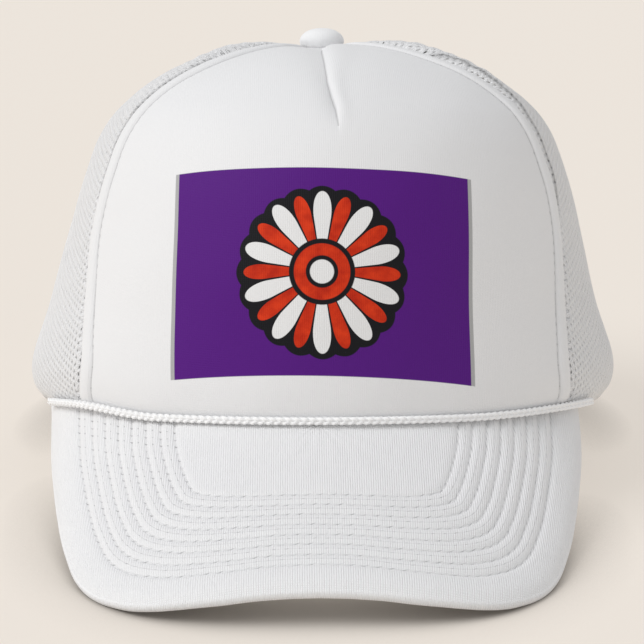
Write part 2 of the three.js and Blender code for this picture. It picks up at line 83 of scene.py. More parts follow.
class Nodes:
    """Short ways to add and join shader nodes in one material."""

    def __init__(self, name):
        self.material = bpy.data.materials.new(name)
        self.material.use_nodes = True
        self.tree = self.material.node_tree
        self.shader = self.tree.nodes["Principled BSDF"]

    def add(self, kind, **settings):
        node = self.tree.nodes.new(kind)
        for key, value in settings.items():
            setattr(node, key, value)
        return node

    def join(self, source, target):
        self.tree.links.new(source, target)

    def feed(self, value, socket):
        if isinstance(value, (int, float, tuple)):
            socket.default_value = value
        else:
            self.join(value, socket)

    def finish(self, **values):
        """Sets or joins the shader's own inputs, named with _ for each space."""
        for key, value in values.items():
            self.feed(value, self.shader.inputs[key.replace("_", " ")])

    def on_map(self, name):
        """A UV map's place on the piece, whole and as its two numbers."""
        place = self.add("ShaderNodeUVMap", uv_map=name).outputs["UV"]
        parts = self.add("ShaderNodeSeparateXYZ")
        self.join(place, parts.inputs[0])
        return place, parts.outputs[0], parts.outputs[1]

    def math(self, operation, first, second=0.0, third=0.0):
        node = self.add("ShaderNodeMath", operation=operation)
        for value, socket in zip((first, second, third), node.inputs):
            self.feed(value, socket)
        return node.outputs[0]

    def mix(self, share, first, second):
        node = self.add("ShaderNodeMix", data_type="RGBA")
        for value, socket in ((share, 0), (first, 6), (second, 7)):
            self.feed(value, node.inputs[socket])
        return node.outputs[2]

    def noise(self, vector, scale, detail=2.0):
        node = self.add("ShaderNodeTexNoise")
        for value, socket in ((vector, "Vector"), (scale, "Scale"), (detail, "Detail")):
            self.feed(value, node.inputs[socket])
        return node.outputs["Fac"]

    def grain(self, scale, detail=2.0):
        """Fine noise fixed to the piece itself."""
        return self.noise(self.add("ShaderNodeTexCoord").outputs["Object"], scale, detail)

    def bump(self, height, strength, distance):
        node = self.add("ShaderNodeBump")
        for value, socket in ((height, "Height"), (strength, "Strength"), (distance, "Distance")):
            self.feed(value, node.inputs[socket])
        return node.outputs["Normal"]


n = Nodes("floor")
# Painted shadow: the floor's emitted glow fades with ambient occlusion within GLOW_REACH of anything over
# or beside it.
openness = n.add("ShaderNodeAmbientOcclusion", samples=8)
openness.inputs["Distance"].default_value = GLOW_REACH
glow = n.math("MULTIPLY", n.math("POWER", openness.outputs["AO"], 2.0), GLOW_STRENGTH)
n.finish(Base_Color=FLOOR_COLOUR, Roughness=0.9, Emission_Color=FLOOR_GLOW, Emission_Strength=glow)
floor_mesh = bpy.data.meshes.new("floor")
half = FLOOR_SIZE / 2
floor_mesh.from_pydata([(-half, -half, 0), (half, -half, 0), (half, half, 0), (-half, half, 0)], [],
                       [(0, 1, 2, 3)])
floor_mesh.materials.append(n.material)
floor = bpy.data.objects.new("floor", floor_mesh)
bpy.context.scene.collection.objects.link(floor)

fill_data = bpy.data.lights.new("fill_light", "AREA")
fill_data.shape, fill_data.size, fill_data.energy = "SQUARE", FILL_SIZE, FILL_WATTS
fill = bpy.data.objects.new("fill_light", fill_data)
fill.location = FILL_PLACE
fill.rotation_euler = (Vector(FILL_AIM) - Vector(FILL_PLACE)).to_track_quat("-Z", "Y").to_euler()
bpy.context.scene.collection.objects.link(fill)
window_data = bpy.data.lights.new("window_light", "SUN")
window_data.energy, window_data.angle = WINDOW_STRENGTH, WINDOW_SPREAD
window = bpy.data.objects.new("window_light", window_data)
window.rotation_euler = Vector(WINDOW_WAY).to_track_quat("-Z", "Y").to_euler()
bpy.context.scene.collection.objects.link(window)
world = bpy.data.worlds.new("studio")
world.use_nodes = True
sky = world.node_tree.nodes["Background"].inputs
sky["Color"].default_value, sky["Strength"].default_value = SKY_COLOUR, SKY_STRENGTH
bpy.context.scene.world = world


# Front panel
# One piece of white cloth over thin foam, cut with a dart under the button and turned under
# at the edge that meets the net, where a topstitched strip stands a little proud. Printed.
HALF_WIDTH, FRONT_REACH, BACK_REACH, HEIGHT = 92.0, 98.0, 99.0, 109.5
LEAN = 1.2
TIP_ANGLE = 11.141375
CROWN_PLACE = (0.0, 29.949525, 16.791905)
SECTIONS = np.array([
    # height, width, front, back, seam angle, rear seam angle
    (0.0, 0.955, 0.99, 0.975, 53.5, 118),
    (0.037, 0.988, 0.996, 0.99, 53.2, 118),
    (0.082, 0.998, 1.0, 0.998, 52.7, 118.2),
    (0.128, 0.991, 1.0, 1.0, 52.7, 118.4),
    (0.183, 0.971, 1.0, 1.0, 54, 118.7),
    (0.265, 0.939, 0.998, 0.995, 56.4, 119),
    (0.374, 0.905, 0.99, 0.975, 58.9, 119.6),
    (0.484, 0.872, 0.97, 0.94, 61.2, 120.2),
    (0.584, 0.843, 0.94, 0.895, 61.8, 120.8),
    (0.667, 0.811, 0.9, 0.845, 61.8, 121.4),
    (0.74, 0.777, 0.85, 0.79, 61.6, 122),
    (0.804, 0.73, 0.785, 0.725, 60.7, 122.6),
    (0.854, 0.672, 0.71, 0.655, 59.1, 123.2),
    (0.9, 0.6, 0.625, 0.575, 56.3, 124),
    (0.941, 0.512, 0.525, 0.485, 52.9, 125),
    (0.971, 0.415, 0.42, 0.39, 50.1, 126),
    (0.989, 0.315, 0.325, 0.3, 48.5, 126),
    (0.998, 0.228, 0.23, 0.215, 47.5, 126),
    (0.997, 0.14, 0.14, 0.13, 47.5, 126),
    (0.99, 0.065, 0.064, 0.06, 47.5, 126),
    (0.9845, 0.02, 0.019, 0.018, 47.5, 126),
])
COLUMN = {"height": 0, "width": 1, "front": 2, "back": 3, "seam": 4, "rear": 5}
PANEL_THICKNESS = 3.0
STRIP_WIDTH, STRIP_RAISE, STITCH_PITCH, NARROW_PANEL = 6.4, 0.9, 3.1, 18.0
DART_DOWN = (0.0, 37.0, 50.0, 60.0, 68.0, 76.0, 83.0, 90.0)
DART_ACROSS = (0.0, -0.5, -0.7, -0.4, 0.6, 1.9, 2.5, 2.8)
HOLE_RADIUS = 4.0
SEAM_GAP = 0.3


def smooth_step(value, low, high):
    """0 below low, 1 above high, and an S curve between."""
    share = np.clip((value - low) / (high - low), 0.0, 1.0)
    return share * share * (3 - 2 * share)


def unit(vectors):
    """Vectors cut to a length of one."""
    return vectors / np.linalg.norm(vectors, axis=-1, keepdims=True)


def way_along(line):
    """The distance along a line of points, or along each row of a grid of points."""
    steps = np.linalg.norm(np.diff(line, axis=-2), axis=-1)
    return np.concatenate([np.zeros(steps.shape[:-1] + (1,)), np.cumsum(steps, axis=-1)], axis=-1)


def spline(knots, values, at):
    """A smooth curve through values at uneven knots: a cubic between each two, whose slope at
    each knot is that of the line between the knots on both sides of it."""
    order = np.arange(len(knots))
    before, after = np.maximum(order - 1, 0), np.minimum(order + 1, len(knots) - 1)
    slopes = (values[after] - values[before]) / (knots[after] - knots[before])
    i = np.clip(np.searchsorted(knots, at, side="left") - 1, 0, len(knots) - 2)
    span = knots[i + 1] - knots[i]
    s = (at - knots[i]) / span
    start = 2 * s**3 - 3 * s**2 + 1
    return (start * values[i] + (1 - start) * values[i + 1]
            + (s**3 - 2 * s**2 + s) * span * slopes[i] + (s**3 - s**2) * span * slopes[i + 1])


STATIONS = way_along(SECTIONS[:, :2] * (HEIGHT, HALF_WIDTH))
STATIONS = STATIONS / STATIONS[-1]


def section(name, station):
    """A column of the table at any station."""
    return spline(STATIONS, SECTIONS[:, COLUMN[name]], np.asarray(station, float))


def surface(station, angle):
    """The crown's outer skin: an egg shaped ring at each station, width times the sine of the
    angle across and reach times its cosine lengthways, with the shoulders leaning right."""
    turned = np.radians(angle)
    reach = np.where(np.cos(turned) > 0, section("front", station) * FRONT_REACH,
                     section("back", station) * BACK_REACH)
    height, width = section("height", station), section("width", station)
    lean = smooth_step(height, 0.2, 0.7) * smooth_step(width, 0.3, 0.6)
    return np.stack([width * HALF_WIDTH * np.sin(turned) + LEAN * lean,
                     -reach * np.cos(turned), height * HEIGHT + 0 * turned], axis=-1)


def outward(station, angle):
    """The unit normal of the crown's skin, from its slopes both ways."""
    step = 0.002
    rise = surface(np.minimum(station + step, 1), angle) - surface(np.maximum(station - step, 0), angle)
    around = surface(station, angle + 1) - surface(station, angle - 1)
    return unit(np.cross(around, rise))


def crown(station, angle, depth):
    """A point of the skin moved inwards along its normal by a depth."""
    station, angle = np.broadcast_arrays(station, angle)
    return surface(station, angle) - outward(station, angle) * np.asarray(depth)[..., None]


def per_degree(station, angle):
    """Millimetres round the crown for each degree at a station."""
    return np.linalg.norm(surface(station, angle + 0.5) - surface(station, angle - 0.5), axis=-1)


def station_at_height(height):
    """The station on the way up where the skin reaches a height."""
    ladder = np.linspace(0, 0.93, 3000)
    return np.interp(height, section("height", ladder) * HEIGHT, ladder)


def station_at_width(width):
    """The station near the top where the half width has shrunk to a size."""
    ladder = np.linspace(1.0, 0.6, 3000)
    return np.interp(width, section("width", ladder) * HALF_WIDTH, ladder)


TOP_STATION = station_at_width(HOLE_RADIUS)
ladder = np.linspace(0, TOP_STATION, 400)
front_climb = way_along(surface(ladder, np.zeros(400)))


def climb_at(station):
    """Millimetres up the front of the crown from the rim to a station."""
    return np.interp(station, ladder, front_climb)


def placed(points):
    """Crown points tipped back onto the ground, and pressed flat where they touch it, in metres."""
    tip = math.radians(TIP_ANGLE)
    x, y, z = points[..., 0], points[..., 1], points[..., 2]
    tipped = np.stack([x, y * math.cos(tip) + z * math.sin(tip), z * math.cos(tip) - y * math.sin(tip)],
                      axis=-1)
    tipped = tipped + np.array(CROWN_PLACE)
    tipped[..., 2] = np.maximum(tipped[..., 2], 0.0)
    return tipped * MM


def grid_quads(number):
    """Quads between the neighbours in a grid of point numbers."""
    return np.stack([number[:-1, :-1], number[:-1, 1:], number[1:, 1:], number[1:, :-1]],
                    axis=-1).reshape(-1, 4)


def tube_quads(number):
    """Quads round a grid of point numbers whose last column meets its first."""
    after = np.roll(number, -1, axis=1)
    return np.stack([number[:-1], after[:-1], after[1:], number[1:]], axis=-1).reshape(-1, 4)


def cap_quads(ring):
    """Quads across a ring of point numbers, each from a step on one side to that on the other."""
    half = np.arange(len(ring) // 2)
    near, far = ring[half], ring[-1 - half]
    return np.stack([near[:-1], near[1:], far[1:], far[:-1]], axis=-1)


def closed_wall(outer, inner):
    """Quads of a closed wall between two grids: both faces and the four edges between them.
    Returns the points, the quads and for each quad 0 on the outer face or else 1."""
    number = np.arange(outer[..., 0].size).reshape(outer.shape[:2])
    other = number + number.size
    front, rear = grid_quads(number), grid_quads(other)[:, [0, 3, 2, 1]]

    def edge(near, far):
        return np.stack([near[:-1], near[1:], far[1:], far[:-1]], axis=1)

    edges = [edge(number[:, 0], other[:, 0]), edge(number[::-1, -1], other[::-1, -1]),
             edge(number[0, ::-1], other[0, ::-1]), edge(number[-1], other[-1])]
    quads = np.concatenate([front, rear, *edges])
    points = np.concatenate([outer.reshape(-1, 3), inner.reshape(-1, 3)])
    return points, quads, (np.arange(len(quads)) >= len(front)).astype(int)


def add_piece(name, points, faces, materials, slot, replaces=(), maps=None, slots=None):
    """One mesh from points in millimetres before the tip, and faces of three or four corners,
    turned to face out. Its UV maps are given by name, such as each point's place on the cloth in
    millimetres, and a map of a wall's outer face serves its inner face too."""
    points = placed(points)
    a, b, c = points[faces[:, 0]], points[faces[:, 1]], points[faces[:, 2]]
    middle = points.mean(axis=0)
    volume = np.einsum("ij,ij->i", a - middle, np.cross(b - middle, c - middle)).sum()
    if faces.shape[1] == 4:
        d = points[faces[:, 3]]
        volume += np.einsum("ij,ij->i", a - middle, np.cross(c - middle, d - middle)).sum()
    if volume < 0:
        faces = faces[:, ::-1]
    mesh = bpy.data.meshes.new(name)
    corners = faces.shape[1]
    mesh.vertices.add(len(points))
    mesh.vertices.foreach_set("co", points.astype(np.float32).ravel())
    mesh.loops.add(faces.size)
    mesh.loops.foreach_set("vertex_index", faces.astype(np.int32).ravel())
    mesh.polygons.add(len(faces))
    mesh.polygons.foreach_set("loop_start", np.arange(0, faces.size, corners, dtype=np.int32))
    mesh.polygons.foreach_set("use_smooth", np.full(len(faces), True))
    for material in materials:
        mesh.materials.append(material)
    if slots is not None:
        mesh.polygons.foreach_set("material_index", slots.astype(np.int32))
    for map_name, place in (maps or {}).items():
        layer = mesh.uv_layers.new(name=map_name)
        place = np.tile(place, (len(points) // len(place), 1))
        layer.data.foreach_set("uv", place[faces.ravel()].astype(np.float32).ravel())
    mesh.update(calc_edges=True)
    mesh.validate()
    piece = bpy.data.objects.new(name, mesh)
    bpy.context.scene.collection.objects.link(piece)
    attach(piece, "root")
    if replaces:
        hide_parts(*replaces)
    return piece


def ribbed_cloth(name, colour, rib, depth=0.35, roughness=0.86, sheen=0.12, specular=0.25):
    """White cloth with fine upright ribs: a wave across the cloth of the given pitch, a
    finer one along it for the weft, and soft noise for the nap and for slow colour change.
    The colour is also a little darker where the weave is low: painted shade in its hollows."""
    n = Nodes(name)
    place, across_mm, up_mm = n.on_map("cloth")
    bent = n.math("ADD", across_mm, n.math("MULTIPLY", n.noise(place, 0.9, 3.0), 0.25))
    ribs = n.math("SINE", n.math("MULTIPLY", bent, 2 * math.pi / rib))
    weft = n.math("SINE", n.math("MULTIPLY", up_mm, 2 * math.pi / (rib * 0.8)))
    weave = n.math("ADD", n.math("MULTIPLY", ribs, 0.5), n.math("MULTIPLY", weft, 0.25))
    height = n.math("ADD", weave, n.math("MULTIPLY", n.noise(place, 3.0, 4.0), 1.5))
    slow = n.math("MULTIPLY", n.noise(place, 0.035, 2.0), 0.05)
    # Besides the slow random change, the colour darkens a little where the weave is low: painted shade.
    shade = n.math("ADD", n.math("ADD", slow, n.math("MULTIPLY", weave, 0.10 * depth)), 0.5)
    dark = tuple(0.93 * c for c in colour[:3]) + (1.0,)
    n.finish(Base_Color=n.mix(shade, dark, colour), Normal=n.bump(height, depth, 0.00012),
             Roughness=roughness, Sheen_Weight=sheen, Sheen_Roughness=0.5, Specular_IOR_Level=specular)
    return n


def painted_stitch_shade(n, pitch, pit_radius, strength, line_width=0.4, line_strength=0.36):
    """Paints shade on the cloth: a thin dark line along the valley under a row of stitches and
    a small dark pit at the end of each stitch, standing in for the shade in the groove and in
    the needle holes. The map "stitch" holds stitches along the row and millimetres beside it."""
    place, along, beside = n.on_map("stitch")
    beside = n.math("ABSOLUTE", beside)
    to_end = n.math("ABSOLUTE", n.math("SUBTRACT", along, n.math("ROUND", along)))
    away = n.math("SQRT", n.math("ADD", n.math("POWER", beside, 2.0),
                                 n.math("POWER", n.math("MULTIPLY", to_end, pitch), 2.0)))
    pit = n.math("MULTIPLY_ADD", away, -1 / pit_radius, 1.3)
    line = n.math("MULTIPLY_ADD", beside, -1 / line_width, 1.0)
    uneven = n.math("MULTIPLY_ADD", n.noise(place, 0.9, 2.0), 4.0, -1.3)
    uneven = n.math("MINIMUM", n.math("MAXIMUM", uneven, 0.15), 1.0)
    pit_share = n.math("MULTIPLY", n.math("MINIMUM", n.math("MAXIMUM", pit, 0.0), 1.0),
                       n.math("MULTIPLY", uneven, strength))
    line_share = n.math("MULTIPLY", n.math("MAXIMUM", line, 0.0), line_strength)
    cloth = n.shader.inputs["Base Color"].links[0].from_socket
    # The near black colour is painted shade, mixed in by the stronger of the pit and the line.
    n.finish(Base_Color=n.mix(n.math("MAXIMUM", pit_share, line_share), cloth, (0.07, 0.07, 0.075, 1.0)))


# The print is laid on the cloth by its place in millimetres: across from the middle of the
# panel, and up from the rim. A purple field between two thin grey strips holds a rosette of
# white and orange petals with black outlines.
PRINT_MIDDLE, PRINT_HALF, STRIP = (-1.7, 43.3), (44.7, 29.95), 1.3
PRINT_DIP, PRINT_SHEAR, PRINT_LEAN, PRINT_TAPER = 3.0, 0.0255, 0.018, 0.00026
ROSETTE_MIDDLE = (0.0, -0.5)
PURPLE, GREY = (0.092, 0.009, 0.212, 1.0), (0.43, 0.43, 0.43, 1.0)
ORANGE, DEEP_ORANGE = (0.72, 0.045, 0.008, 1.0), (0.48, 0.02, 0.004, 1.0)
BLACK, PRINT_WHITE = (0.008, 0.008, 0.01, 1.0), (0.82, 0.82, 0.82, 1.0)


def add_print(n):
    """Lays the print over a cloth: masks from the distances to the field's edges, and petals
    from the angle and distance round the rosette's middle."""
    place, x, y = n.on_map("cloth")
    x, y = n.math("SUBTRACT", x, PRINT_MIDDLE[0]), n.math("SUBTRACT", y, PRINT_MIDDLE[1])

    def under(value, limit, soft=0.12):
        """1 where a value is under a limit, with a narrow soft edge."""
        return n.math("MULTIPLY_ADD", n.math("SUBTRACT", limit, value), 0.5 / soft, 0.5)

    def clamped(value):
        node = n.add("ShaderNodeClamp")
        n.join(value, node.inputs["Value"])
        return node.outputs[0]

    wide = clamped(under(n.math("ABSOLUTE", x), PRINT_HALF[0] + STRIP))
    narrow = clamped(under(n.math("ABSOLUTE", x), PRINT_HALF[0]))
    tall = clamped(under(n.math("ABSOLUTE", y), PRINT_HALF[1]))
    rx = n.math("SUBTRACT", x, ROSETTE_MIDDLE[0])
    ry = n.math("SUBTRACT", y, ROSETTE_MIDDLE[1])
    radius = n.math("SQRT", n.math("ADD", n.math("MULTIPLY", rx, rx), n.math("MULTIPLY", ry, ry)))
    angle = n.math("ARCTAN2", ry, rx)
    even = n.math("ABSOLUTE", n.math("COSINE", n.math("MULTIPLY", angle, 5.0)))
    odd = n.math("ABSOLUTE", n.math("SINE", n.math("MULTIPLY", angle, 5.0)))

    def petal(wave, edge, root, tip, low):
        """1 inside petals: where the wave is over an edge, from a low radius out to a rounded
        tip that reaches furthest on the petal's middle line."""
        over = n.math("MAXIMUM", n.math("DIVIDE", n.math("SUBTRACT", wave, edge), 1 - edge), 0.0)
        reach = n.math("MULTIPLY_ADD", n.math("SQRT", over), tip - root, root)
        inside = clamped(under(radius, reach))
        side = clamped(n.math("MULTIPLY", n.math("SUBTRACT", wave, edge), 30.0))
        outside = clamped(under(low, radius))
        return n.math("MULTIPLY", n.math("MULTIPLY", inside, side), outside)

    brush = n.noise(place, 0.22, 3.0)
    orange = n.mix(clamped(n.math("MULTIPLY_ADD", brush, 3.0, -1.0)), DEEP_ORANGE, ORANGE)
    cloth = n.shader.inputs["Base Color"].links[0].from_socket
    colour_now = n.mix(n.math("MULTIPLY", wide, tall), cloth, GREY)
    colour_now = n.mix(n.math("MULTIPLY", narrow, tall), colour_now, PURPLE)
    scallop = n.math("MULTIPLY_ADD", n.math("MAXIMUM", even, odd), 4.0, 20.8)
    colour_now = n.mix(clamped(under(radius, scallop)), colour_now, BLACK)
    colour_now = n.mix(petal(odd, 0.70, 14.0, 23.2, 9.4), colour_now, PRINT_WHITE)
    colour_now = n.mix(petal(even, 0.80, 15.0, 22.6, 9.4), colour_now, orange)
    colour_now = n.mix(clamped(under(radius, 8.0)), colour_now, orange)
    colour_now = n.mix(clamped(under(radius, 4.6)), colour_now, BLACK)
    colour_now = n.mix(clamped(under(radius, 3.4)), colour_now, PRINT_WHITE)
    n.finish(Base_Color=colour_now)


panel_nodes = ribbed_cloth("printed_panel_cloth", (0.86, 0.86, 0.865, 1.0), 0.62, roughness=0.60,
                           sheen=0.0, specular=0.15)
add_print(panel_nodes)
# Painted shade along the topstitch lines and their needle holes, and down the dart's crease.
painted_stitch_shade(panel_nodes, STITCH_PITCH, 0.30, 0.55)
lining_cloth = ribbed_cloth("white_lining", (0.80, 0.80, 0.79, 1.0), 0.8).material


def seam_edge(station):
    """The angle of the front panel's own edge, half a gap inside the seam."""
    seam = section("seam", station)
    return seam - SEAM_GAP / 2 / per_degree(station, seam)


def dart_line(station):
    """The dart's place round the crown in degrees: straight down from the button, and then
    drifting to the right."""
    from_top = front_climb[-1] - climb_at(station)
    return np.interp(from_top, DART_DOWN, DART_ACROSS) / per_degree(station, 0 * station)


def edge_strip(station):
    """The angle of the panel's edge, millimetres for each degree there, and the share of its
    full width that the edge's strip has where the panel is narrow."""
    edge = seam_edge(station)
    scale = per_degree(station, edge)
    return edge, scale, np.minimum(1.0, edge * scale / NARROW_PANEL)


def panel_relief(station, angle):
    """How far the front panel's cloth stands out: a soft roll along its edge between the seam
    and a sunk stitch line, the dart as a crease with a long fall on its left and a short rise
    on its right, and slow unevenness of a tenth of a millimetre or so."""
    edge, scale, fit = edge_strip(station)
    from_edge = (edge - np.abs(angle)) * scale
    strip_share = np.clip(from_edge / (STRIP_WIDTH * fit), 0.0, 1.0)
    roll = STRIP_RAISE * (1 - np.abs(2 * strip_share - 1) ** 3)
    groove = 0.30 * np.exp(-((from_edge - STRIP_WIDTH * fit) / 0.42) ** 2)
    sink = 1.1 * np.exp(-np.maximum(from_edge, 0) / 0.6)
    clear = smooth_step(section("width", station) * HALF_WIDTH, 7.0, 14.0)
    across, z = per_degree(station, 0 * angle), section("height", station) * HEIGHT
    low = smooth_step(z, 0.0, 5.0)
    x, beside = angle * across, (angle - dart_line(station)) * across
    from_top = front_climb[-1] - climb_at(station)
    strength = smooth_step(from_top, 4.0, 16.0) * smooth_step(from_top, 88.0, 72.0)
    spread = 1 + 1.3 * smooth_step(from_top, 70.0, 30.0)
    crease = (np.exp(-np.maximum(-beside, 0) / (2.6 * spread))
              * np.exp(-np.maximum(beside, 0) / (0.55 * spread)))
    lip = np.exp(-((beside - 2.2 * spread) / (2.0 * spread)) ** 2)
    uneven = (0.10 * np.sin(x / 9.0 + 1.0) * np.sin(z / 13.0)
              + 0.07 * np.sin(x / 5.1 - z / 7.3) + 0.05 * np.sin(z / 4.2 + x / 21.0))
    return (clear * low * (roll - groove - sink) + strength * (0.35 * lip - 2.1 * crease)
            + uneven * low * clear)


def panel_line(sign, from_edge):
    """A line up the front panel at a distance inside its edge, with the cloth's relief: its
    stations, its points, its normals and the way along it."""
    up = np.linspace(0.01, TOP_STATION * 0.985, 260)
    edge, scale, fit = edge_strip(up)
    at_angle = sign * (edge - from_edge * fit / scale)
    line = crown(up, at_angle, -panel_relief(up, at_angle))
    return up, line, outward(up, at_angle), way_along(line)


PANEL_ROWS, PANEL_COLUMNS, CROWDING = 150, 261, 0.65
share_up = np.linspace(0, 1, PANEL_ROWS)[:, None]
share_round = np.linspace(-1, 1, PANEL_COLUMNS)[None, :]
share_round = share_round - CROWDING * np.sin(2 * np.pi * share_round) / (2 * np.pi)
station = TOP_STATION * share_up + 0 * share_round
angle = seam_edge(station) * share_round + dart_line(station) * (1 - np.abs(share_round))
outer = crown(station, angle, -panel_relief(station, angle))
inner = crown(station, angle, np.full(angle.shape, PANEL_THICKNESS))
points, quads, side = closed_wall(outer, inner)
climb = climb_at(station)
arc = way_along(surface(station, angle))
arc = (arc - arc[:, PANEL_COLUMNS // 2, None]
       + (dart_line(station) * per_degree(station, 0 * station))[:, :1])
from_middle = climb - PRINT_MIDDLE[1]
cloth_place = np.stack([
    arc * (1 - PRINT_TAPER * from_middle) + PRINT_LEAN * from_middle,
    climb + PRINT_DIP * (arc / PRINT_HALF[0]) ** 2 + PRINT_SHEAR * arc], axis=-1).reshape(-1, 2)
edge, edge_scale, edge_fit = edge_strip(station)
beside_row = (edge - np.abs(angle)) * edge_scale - STRIP_WIDTH * edge_fit
line_up, _, _, line_way = panel_line(1, STRIP_WIDTH)
stitches_up = int(line_way[-1] / STITCH_PITCH)
along_row = np.interp(station, line_up, line_way) * stitches_up / line_way[-1]
# Within three millimetres of the dart the stitch map gives the distance from the crease and no stitch
# ends, so a painted line of shade without pits runs down the crease.
beside_dart = np.abs(angle - dart_line(station)) * per_degree(station, 0 * angle)
from_top = front_climb[-1] - climb
in_dart = (beside_dart < 3.0) & (from_top < 84.0) & (from_top > 12.0)
along_row, beside_row = np.where(in_dart, 0.5, along_row), np.where(in_dart, beside_dart, beside_row)
stitch_place = np.stack([along_row, beside_row], axis=-1).reshape(-1, 2)
add_piece("front_panel_cloth", points, quads, [panel_nodes.material, lining_cloth], "white_cloth",
          ["front_panel"], {"cloth": cloth_place, "stitch": stitch_place}, side)


# Topstitching
# White thread sunk into the cloth: short rounded stitches along a line, each a small capsule
# of six sides, joined into one mesh for each row or group of rows.
THREAD, STITCH_FILL = 0.13, 0.80
n = Nodes("white_thread")
n.finish(Base_Color=(0.84, 0.84, 0.84, 1.0), Roughness=0.6, Normal=n.bump(n.grain(2500.0), 0.3, 0.0001))
thread = n.material


def capsules(centre, sideways, up, radius, flattening=1.0):
    """Closed tubes of six sides, one round each row of a grid of centres, whose radius falls
    off at both ends."""
    turned = (np.arange(6) * np.pi / 3)[:, None]
    spread = np.cos(turned) * sideways[:, :, None] + flattening * np.sin(turned) * up[:, :, None]
    thick = radius * np.sqrt(1 - (0.97 * np.linspace(-1, 1, centre.shape[1])) ** 4)
    points = centre[:, :, None] + spread * thick[:, None, None]
    number = np.arange(points[..., 0].size).reshape(points.shape[:3])
    after = np.roll(number, -1, axis=2)
    body = np.stack([number[:, :-1], number[:, 1:], after[:, 1:], after[:, :-1]], axis=-1).reshape(-1, 4)
    first, last = number[:, 0], number[:, -1]
    caps = [first[:, [0, 1, 2, 3]], first[:, [0, 3, 4, 5]], last[:, [3, 2, 1, 0]], last[:, [5, 4, 3, 0]]]
    return points.reshape(-1, 3), np.concatenate([body, *caps])


def stitches(path, normal, count):
    """Capsules along a path in millimetres at even distances, a little flat and with their
    middles raised."""
    way = way_along(path)
    middle = (np.arange(count) + 0.5) * way[-1] / count
    half_length = way[-1] / count * STITCH_FILL / 2

    def at(distance, values):
        return np.stack([np.interp(distance, way, values[:, k]) for k in range(3)], axis=-1)

    share = np.linspace(-1, 1, 6)
    distance = middle[:, None] + half_length * share
    up = unit(at(distance, normal))
    along = unit(at(distance + 0.05, path) - at(distance - 0.05, path))
    centre = at(distance, path) + up * (0.35 * THREAD * (1 - share**2))[:, None]
    return capsules(centre, np.cross(up, along), up, THREAD, 0.8)


def joined(groups):
    """Several sets of points and faces as one."""
    starts = np.cumsum([0] + [len(points) for points, _ in groups[:-1]])
    return (np.concatenate([points for points, _ in groups]),
            np.concatenate([faces + start for (_, faces), start in zip(groups, starts)]))


rows = [stitches(*panel_line(sign, STRIP_WIDTH)[1:3], stitches_up) for sign in (-1, 1)]
add_piece("panel_topstitch", *joined(rows), [thread], "white_cloth")


# Net panels
# White knitted net in four panels, seamed up the sides and the middle of the back and eased
# into the front panel's edge, where it puffs a little. Its small holes are real and stand in
# leaning columns: each cell is a ring of cloth round a long six sided hole.
NET_PITCH, NET_THICKNESS, NET_SLANT = 2.1, 0.6, 0.20
HOLE_WIDE, HOLE_LONG, SEAM_PITCH = 0.24, 0.52, 2.4
ARCH_HALF_WIDTH, ARCH_HEIGHT, BINDING_WIDTH = 38.0, 47.0, 7.0
PUFF_RIGHT, PUFF_LEFT, SEAM_START = 2.3, 1.7, 2.0
EDGE_CATCH, RIM_CLEAR = 1.6 * NET_PITCH, 0.1

n = Nodes("white_net")
place, across_mm, up_mm = n.on_map("cloth")
grain = n.noise(place, 2.2, 4.0)
across_mm = n.math("ADD", across_mm, n.math("MULTIPLY", grain, 0.5))
knit = n.math("MULTIPLY", n.math("SINE", n.math("MULTIPLY", across_mm, 2 * math.pi / 0.9)),
              n.math("SINE", n.math("MULTIPLY", up_mm, 2 * math.pi / 1.3)))
# Colour: a random grain tone, and painted shade, a little darker where the knit is low.
shade = n.math("MULTIPLY_ADD", knit, 0.15, grain)
n.finish(Base_Color=n.mix(shade, (0.78, 0.78, 0.785, 1.0), (0.92, 0.92, 0.925, 1.0)), Roughness=0.6,
         Normal=n.bump(n.math("MULTIPLY_ADD", knit, 0.5, grain), 0.8, 0.0003), Sheen_Weight=0.15)
# Painted shade in a band beside each front seam, where the gap and the stretched holes would show the
# shaded inside, with dark pits at each seam stitch.
painted_stitch_shade(n, SEAM_PITCH, 0.70, 0.90, 1.0, 0.50)
net_material = n.material


def net_relief(station, angle, from_front, puff):
    """How far the net stands out: gathers where it is eased into the front seam, a puff beside
    the seam towards the top with puckers across it, a small rise beside the button, and slow
    waves elsewhere."""
    s = climb_at(station)
    high = smooth_step(station, 0.45, 0.75)
    near = np.exp(-np.maximum(from_front, 0) / 16.0)
    swell = np.exp(-((from_front - 6.0) / 6.0) ** 2) * smooth_step(station, 0.50, 0.72)
    width = section("width", station) * HALF_WIDTH
    swell = swell * (1 - 0.7 * smooth_step(station, 0.78, 0.90))
    crest = smooth_step(width, 6.0, 8.0) * (1 - smooth_step(width, 20.0, 44.0))
    return (puff * swell * (1 + 0.07 * np.sin(s * 1.05 + angle / 9.0)) + 1.0 * crest
            + 0.10 * near * high * np.sin(s / 1.35 + angle / 11.0)
            + 0.14 * near * np.sin(s / 2.3 - angle / 17.0) * (1 - 0.6 * high)
            + 0.10 * np.sin(s / 6.0 + angle / 7.0))


def honeycomb(columns, rows, pitch):
    """Middles of a honeycomb's cells: columns a root three over two apart, every other column
    shifted by half a pitch."""
    i, j = np.meshgrid(np.arange(-columns, columns + 1), np.arange(-rows, rows + 1))
    return np.stack([i * pitch * math.sqrt(3) / 2, (j + 0.5 * (i % 2)) * pitch], axis=-1).reshape(-1, 2)


